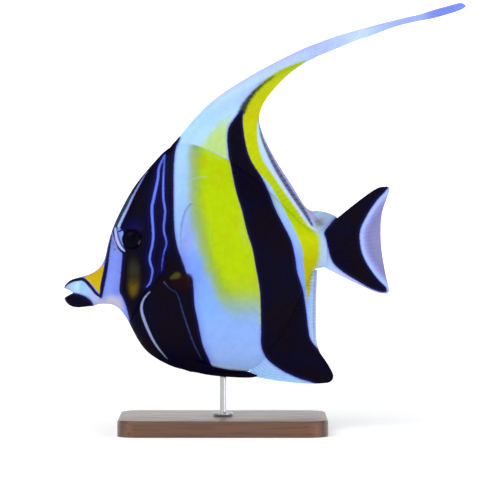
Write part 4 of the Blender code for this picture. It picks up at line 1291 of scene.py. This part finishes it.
def fin_finish(name, ray_tone, contrast):
    finish = new_finish(
        name, roughness=0.45, specular_ior_level=0.03, coat_weight=0.02, coat_roughness=0.12,
        subsurface_weight=0.08, subsurface_scale=0.002,
    )
    plain_mark = count(finish, "MAXIMUM", stored(finish, "rear_yellow"), stored(finish, "smudge"))
    off_yellow = ramp(finish, plain_mark, *OFF_MARK)
    off_black = ramp(finish, stored(finish, "black"), *OFF_MARK, 0.0, contrast)
    rays = count(finish, "MULTIPLY", stored(finish, "ray"), count(finish, "MULTIPLY", off_black, off_yellow))
    tone = layer(finish, coat_of_colour(finish), ray_tone, rays)
    off_black = ramp(finish, stored(finish, "black"), *OFF_MARK, 0.0, LEAD_STRENGTH)
    leading = count(finish, "MULTIPLY", stored(finish, "lead"), off_black)
    connect(finish, "Base Color", layer(finish, tone, LEAD_TONE, leading))
    wave = count(finish, "SINE", count(finish, "MULTIPLY", stored(finish, "out"), SEGMENTS))
    segments = count(finish, "MULTIPLY", wave, stored(finish, "ray"))
    bump(finish, (segments, SEGMENT_DEPTH), (noise(finish, FIN_GRAIN), FIN_GRAIN_DEPTH))
    return finish


pale_fin = fin_finish("pale_fin", colour(205, 230, 255), 0.12)
tail_fin = fin_finish("tail_membrane", colour(206, 210, 236), 0.13)
anal_sheet = fin_finish("anal_membrane", colour(186, 232, 255), 0.28)
black_fin = fin_finish("black_blade", colour(120, 130, 180), 0.0)
glass_fin = new_finish(
    "glassy_fin", roughness=0.35, specular_ior_level=0.1, coat_weight=0.03, coat_roughness=0.1
)
outwards = stored(glass_fin, "out")
sheet = layer(glass_fin, GLASS_SHEET, GLASS_RAY, stored(glass_fin, "ray"))
connect(glass_fin, "Base Color", layer(glass_fin, sheet, GLASS_ROOT, ramp(glass_fin, outwards, 0.22, 0.1)))
clear = count(glass_fin, "MULTIPLY", stored(glass_fin, "ray"), RAY_ALPHA)
first_ray = count(glass_fin, "MULTIPLY", stored(glass_fin, "lead"), FIRST_RAY_ALPHA)
edge_of_fin = count(glass_fin, "ADD", first_ray, ramp(glass_fin, outwards, 0.97, 1.0, 0.01, 0.035))
fleshy = ramp(glass_fin, outwards, 0.16, 0.03, 0.0, 0.7)
connect(glass_fin, "Alpha", count(glass_fin, "MAXIMUM", fleshy, count(glass_fin, "ADD", clear, edge_of_fin)))
bump(glass_fin, (stored(glass_fin, "ray"), 0.08))
settle(dorsal, pale_fin, "fin_pale", "dorsal_fin")
settle(
    streamer, pale_fin, "fin_pale", "dorsal_streamer_root", "dorsal_streamer_middle", "dorsal_streamer_tip"
)
settle(anal, anal_sheet, "fin_dark", "anal_fin")
settle(tail, tail_fin, "fin_dark", "caudal_fin")
for side in SIDES:
    settle(pectorals[side], glass_fin, "fin_pale", "pectoral_fin_" + side)
    settle(pelvics[side], black_fin, "fin_dark", "pelvic_fin_" + side)

# %% [markdown]
# The eye is a flattened ball set deep in the head, nearly black, with a bronze crescent behind the
# pupil: the iris ring's colour, painted as a highlight along its rear edge. A thin clear coat over it
# catches the lights. In front of each eye stands a small bony horn, made from a ball whose rings are
# strung along a curved path, which keeps its ends closed and round.

# %% Eyes and horns
HORN_PATH = [
    (-74.6, 102.6, 0.5), (-74.2, 99.6, 0.9), (-73.4, 96.4, 1.2), (-71.9, 93.2, 1.1), (-69.6, 90.4, 0.3),
]
HORN_PROUD = 0.5
HORN_RINGS = 48
# A painted highlight, bronze, along the rear edge of the iris ring.
IRIS_HIGHLIGHT_STROKE = (
    [(-63, 99.6), (-61.6, 98.4), (-61.5, 96.6), (-62.7, 94.6), (-62.2, 93), (-62.6, 92)],
    [0.15, 0.35, 0.35, 0.4, 0.3, 0.1],
)
IRIS_BY_DISTANCE = [(0, 3, 4, 20), (0.5, 4, 4, 22), (0.62, 14, 10, 20), (0.8, 9, 7, 22), (1, 5, 4, 18)]
HORN_BY_PLACE = [(-1, 30, 28, 60), (-0.4, 110, 120, 200), (0.2, 186, 196, 240), (1, 120, 130, 210)]

eyes, horns = {}, {}
for side, sign in SIDES.items():
    clear_selection()
    bpy.ops.mesh.primitive_uv_sphere_add(segments=72, ring_count=36, radius=MM, rotation=(math.pi / 2, 0, 0))
    bpy.ops.object.transform_apply(rotation=True)
    ball = named("eyeball_" + side)
    unit = points_of(ball)
    centre = float(flank(*EYE_PLACE)) + EYE_PROUD - EYE_HALF_DEPTH
    size = [EYE_RADIUS, EYE_HALF_DEPTH, EYE_RADIUS]
    move_points(ball, unit * size + [EYE_PLACE[0], sign * centre, EYE_PLACE[1]])
    face_outwards(ball)
    keep_value(ball, "from_axis", np.hypot(unit[:, 0], unit[:, 2]))
    # The crescent is a painted highlight on the iris ring's rear edge.
    keep_value(ball, "crescent", on_stroke(*IRIS_HIGHLIGHT_STROKE, points_of(ball)[:, [0, 2]]))
    eyes[side] = ball
    clear_selection()
    bpy.ops.mesh.primitive_uv_sphere_add(segments=32, ring_count=HORN_RINGS, radius=MM)
    horn = named("brow_horn_" + side)
    unit = points_of(horn)
    share = np.arccos(np.clip(unit[:, 2], -1, 1)) / math.pi
    x, z, radius = along(HORN_PATH)(share).T
    ahead = along(HORN_PATH)(share + 0.01) - along(HORN_PATH)(share - 0.01)
    length = np.maximum(np.hypot(ahead[:, 0], ahead[:, 1]), 1e-6)
    turn = np.arctan2(unit[:, 1], unit[:, 0])
    closing = np.sqrt(np.clip(1 - np.abs(2 * share - 1) ** 12, 0, 1))
    flat, deep = radius * closing * np.cos(turn), radius * closing * np.sin(turn)
    out = sign * (flank(x, z) + HORN_PROUD) + deep
    spots = [x + flat * ahead[:, 1] / length, out, z - flat * ahead[:, 0] / length]
    move_points(horn, np.column_stack(spots))
    face_outwards(horn)
    keep_value(horn, "front", flat)
    horns[side] = horn

eye_finish = new_finish(
    "dark_eye", roughness=0.2, specular_ior_level=0.0, coat_weight=0.045, coat_roughness=0.03
)
iris = gradient(eye_finish, stored(eye_finish, "from_axis"), IRIS_BY_DISTANCE)
# Bronze of the iris ring, laid as a painted highlight crescent on its rear edge.
bronze_highlight = ramp(eye_finish, stored(eye_finish, "crescent"), -0.3, 0.2)
connect(eye_finish, "Base Color", layer(eye_finish, iris, colour(108, 88, 84), bronze_highlight))
horn_finish = new_finish("pale_horn", roughness=0.35, coat_weight=0.4, coat_roughness=0.12)
connect(horn_finish, "Base Color", gradient(horn_finish, stored(horn_finish, "front"), HORN_BY_PLACE))
bump(horn_finish, (noise(horn_finish, 0.5), 0.05))
for side in SIDES:
    settle(eyes[side], eye_finish, "eye", "eye_" + side)
    settle(horns[side], horn_finish, "horn", "horn_" + side)

# %% [markdown]
# The stand is plain museum ware: a dark wooden base with round corners and a brushed steel rod on a
# small flange. The base is a cube taken to size, its upright edges bevelled first and its top rim
# after. The rod is a cylinder whose lower end is widened by extruding and scaling, so flange and rod
# are one turned piece.

# %% Stand
BASE_SIZE = (104, 72, 8)
BASE_CORNER, BASE_EDGE, ROD_SOFTENED = 10.0, 1.0, 0.25
ROD_PLACE, ROD_RADIUS, ROD_TOP = -21.0, 1.6, 31.5
FLANGE_RADIUS, FLANGE_HEIGHT, STAND_GAP = 5.0, 1.4, 0.3


def select_edges(piece, wanted):
    """In edit mode, selects just the edges whose two ends pass the test."""
    bpy.ops.mesh.select_mode(type="EDGE")
    bpy.ops.mesh.select_all(action="DESELECT")
    bpy.ops.object.mode_set(mode="OBJECT")
    places = points_of(piece)
    for edge in piece.data.edges:
        edge.select = bool(wanted(places[edge.vertices[0]], places[edge.vertices[1]]))
    bpy.ops.object.mode_set(mode="EDIT")


clear_selection()
bpy.ops.mesh.primitive_cube_add(
    size=1, location=(ROD_PLACE * MM, 0, BASE_SIZE[2] * MM / 2), scale=[length * MM for length in BASE_SIZE]
)
bpy.ops.object.transform_apply(location=True, rotation=True, scale=True)
base = named("wooden_base")
bpy.ops.object.mode_set(mode="EDIT")
select_edges(base, lambda a, b: abs(a[2] - b[2]) > 1)
bpy.ops.mesh.bevel(offset=BASE_CORNER * MM, segments=16)
select_edges(base, lambda a, b: min(a[2], b[2]) > BASE_SIZE[2] - 0.01)
bpy.ops.mesh.bevel(offset=BASE_EDGE * MM, segments=5)
bpy.ops.object.mode_set(mode="OBJECT")

clear_selection()
foot = BASE_SIZE[2] + STAND_GAP
step = foot + FLANGE_HEIGHT
bpy.ops.mesh.primitive_cylinder_add(
    vertices=64, radius=ROD_RADIUS * MM, depth=(ROD_TOP - step) * MM,
    location=(ROD_PLACE * MM, 0, (ROD_TOP + step) * MM / 2),
)
bpy.ops.object.transform_apply(location=True)
rod = named("steel_rod")
low_end = [polygon.index for polygon in rod.data.polygons if polygon.normal.z < -0.9]
bpy.ops.object.mode_set(mode="EDIT")
bpy.ops.mesh.select_all(action="DESELECT")
bpy.ops.mesh.select_mode(type="FACE")
bpy.ops.object.mode_set(mode="OBJECT")
for index in low_end:
    rod.data.polygons[index].select = True
bpy.ops.object.mode_set(mode="EDIT")
wider = FLANGE_RADIUS / ROD_RADIUS
centre = (ROD_PLACE * MM, 0, step * MM)
bpy.ops.mesh.extrude_region_move(TRANSFORM_OT_translate={"value": (0, 0, 0)})
bpy.ops.transform.resize(value=(wider, wider, 1), center_override=centre)
bpy.ops.mesh.extrude_region_move(TRANSFORM_OT_translate={"value": (0, 0, -FLANGE_HEIGHT * MM)})
bpy.ops.object.mode_set(mode="OBJECT")
softened = rod.modifiers.new("softened edges", "BEVEL")
softened.width = ROD_SOFTENED * MM
softened.segments = 3
softened.limit_method = "ANGLE"
apply_modifiers(rod)
face_outwards(rod)

wood = new_finish("dark_wood", coat_weight=0.25, coat_roughness=0.2)
grain = noise(wood, 1.2, (0.05, 1.0, 1.0), 8.0)
ring_values = {"Scale": 0.06, "Distortion": 7.0, "Detail": 4.0, "Detail Scale": 0.4}
ring_values["Vector"] = place_in(wood, (0.02, 1.0, 1.0))
rings = add_node(wood, "ShaderNodeTexWave", ring_values, 1, bands_direction="Y")
brown = layer(wood, colour(74, 46, 30), colour(112, 72, 46), rings)
connect(wood, "Base Color", layer(wood, brown, colour(52, 31, 20), ramp(wood, grain, 0.45, 0.75, 0.0, 0.7)))
connect(wood, "Roughness", ramp(wood, grain, 0.3, 0.7, 0.3, 0.48))
bump(wood, (grain, 0.08))
steel = new_finish("brushed_steel_rod", metallic=1.0)
lines = noise(steel, 0.25, (1.0, 1.0, 0.02), 4.0)
connect(steel, "Base Color", layer(steel, colour(168, 170, 174), colour(205, 206, 208), lines))
connect(steel, "Roughness", ramp(steel, lines, 0.3, 0.7, 0.22, 0.38))
bump(steel, (lines, 0.01))
settle(base, wood, "base", "stand_base")
settle(rod, steel, "rod", "stand_rod")
for piece in (base, rod):
    pick(piece)
    bpy.ops.object.shade_smooth_by_angle(angle=math.radians(35))

# %% [markdown]
# A studio for a pale subject: a white paper floor that curves up all round like a shallow bowl, so that
# the fish has the same ground from every side. A wide soft sun stands above the camera and a weaker
# panel at the tail's side. The lens is long and far away, so that the fish is seen square on, and
# slightly from above.

# %% Floor, lamps and camera
FLOOR_HALF, FLOOR_FLAT, FLOOR_CURVE, FLOOR_CUTS = 3.0, 2.0, 0.5, 95
VIEW_CENTRE = (-12.5, 0, 96)
FIELD, DISTANCE, LENS_SENSOR = 240.0, 1.6, 36.0
AZIMUTH, ELEVATION = 0.0, 1.5
KEY_PLACE, KEY_POWER, KEY_SOFTNESS = (-0.5, -0.9, 1.1), 1.58, math.radians(50)
FILL_PLACE, FILL_POWER, FILL_SIZE = (1.2, -0.9, 0.5), 3.6, 0.8
WHITE, PAPER_GLOW, ROOM_LIGHT = (1.0, 1.0, 1.0, 1.0), 0.42, 0.2

clear_selection()
bpy.ops.mesh.primitive_plane_add(size=2 * FLOOR_HALF)
floor = named("studio_floor")
bpy.ops.object.mode_set(mode="EDIT")
bpy.ops.mesh.subdivide(number_cuts=FLOOR_CUTS)
bpy.ops.object.mode_set(mode="OBJECT")
spots = points_of(floor) * MM
far = np.hypot(spots[:, 0], spots[:, 1])
run = np.maximum(far - FLOOR_FLAT, 0.0)
bend = np.minimum(run / FLOOR_CURVE, math.pi / 2)
out = np.where(run > 0, FLOOR_FLAT + FLOOR_CURVE * np.sin(bend), far) / np.maximum(far, 1e-9)
rise = FLOOR_CURVE * (1 - np.cos(bend)) + np.maximum(run - FLOOR_CURVE * math.pi / 2, 0.0)
spots = np.column_stack([spots[:, 0] * out, spots[:, 1] * out, rise])
move_points(floor, spots / MM)
pick(floor)
bpy.ops.object.shade_smooth()
paper = new_finish(
    "white_paper", roughness=0.9, specular_ior_level=0.1, emission_color=WHITE, emission_strength=PAPER_GLOW
)
connect(paper, "Base Color", layer(paper, colour(246, 246, 247), colour(240, 240, 242), noise(paper, 60.0)))
floor.data.materials.append(paper)


def aimed(name, kind, place, power, softness):
    """A soft lamp that looks at the fish: a wide sun or a square panel."""
    data = bpy.data.lights.new(name, kind)
    data.energy = power
    if kind == "SUN":
        data.angle = softness
    else:
        data.size = softness
    made = bpy.data.objects.new(name, data)
    scene.collection.objects.link(made)
    made.location = place
    aim = np.array(VIEW_CENTRE) * MM - np.array(place)
    made.rotation_euler = mathutils.Vector(aim).to_track_quat("-Z", "Y").to_euler()


aimed("key", "SUN", KEY_PLACE, KEY_POWER, KEY_SOFTNESS)
aimed("fill", "AREA", FILL_PLACE, FILL_POWER, FILL_SIZE)
world = bpy.data.worlds.new("studio")
scene.world = world
world.use_nodes = True
background = world.node_tree.nodes["Background"]
background.inputs["Color"].default_value = WHITE
background.inputs["Strength"].default_value = ROOM_LIGHT

lens = bpy.data.cameras.new("camera")
lens.sensor_width = LENS_SENSOR
lens.lens = LENS_SENSOR * DISTANCE / (FIELD * MM)
camera = bpy.data.objects.new("camera", lens)
scene.collection.objects.link(camera)
turn, tilt = math.radians(AZIMUTH), math.radians(ELEVATION)
aim = np.array([math.sin(turn) * math.cos(tilt), -math.cos(turn) * math.cos(tilt), math.sin(tilt)])
camera.location = np.array(VIEW_CENTRE) * MM + DISTANCE * aim
camera.rotation_euler = mathutils.Vector(-aim).to_track_quat("-Z", "Y").to_euler()
scene.camera = camera

# %% [markdown] End of the build


print("scene ready")
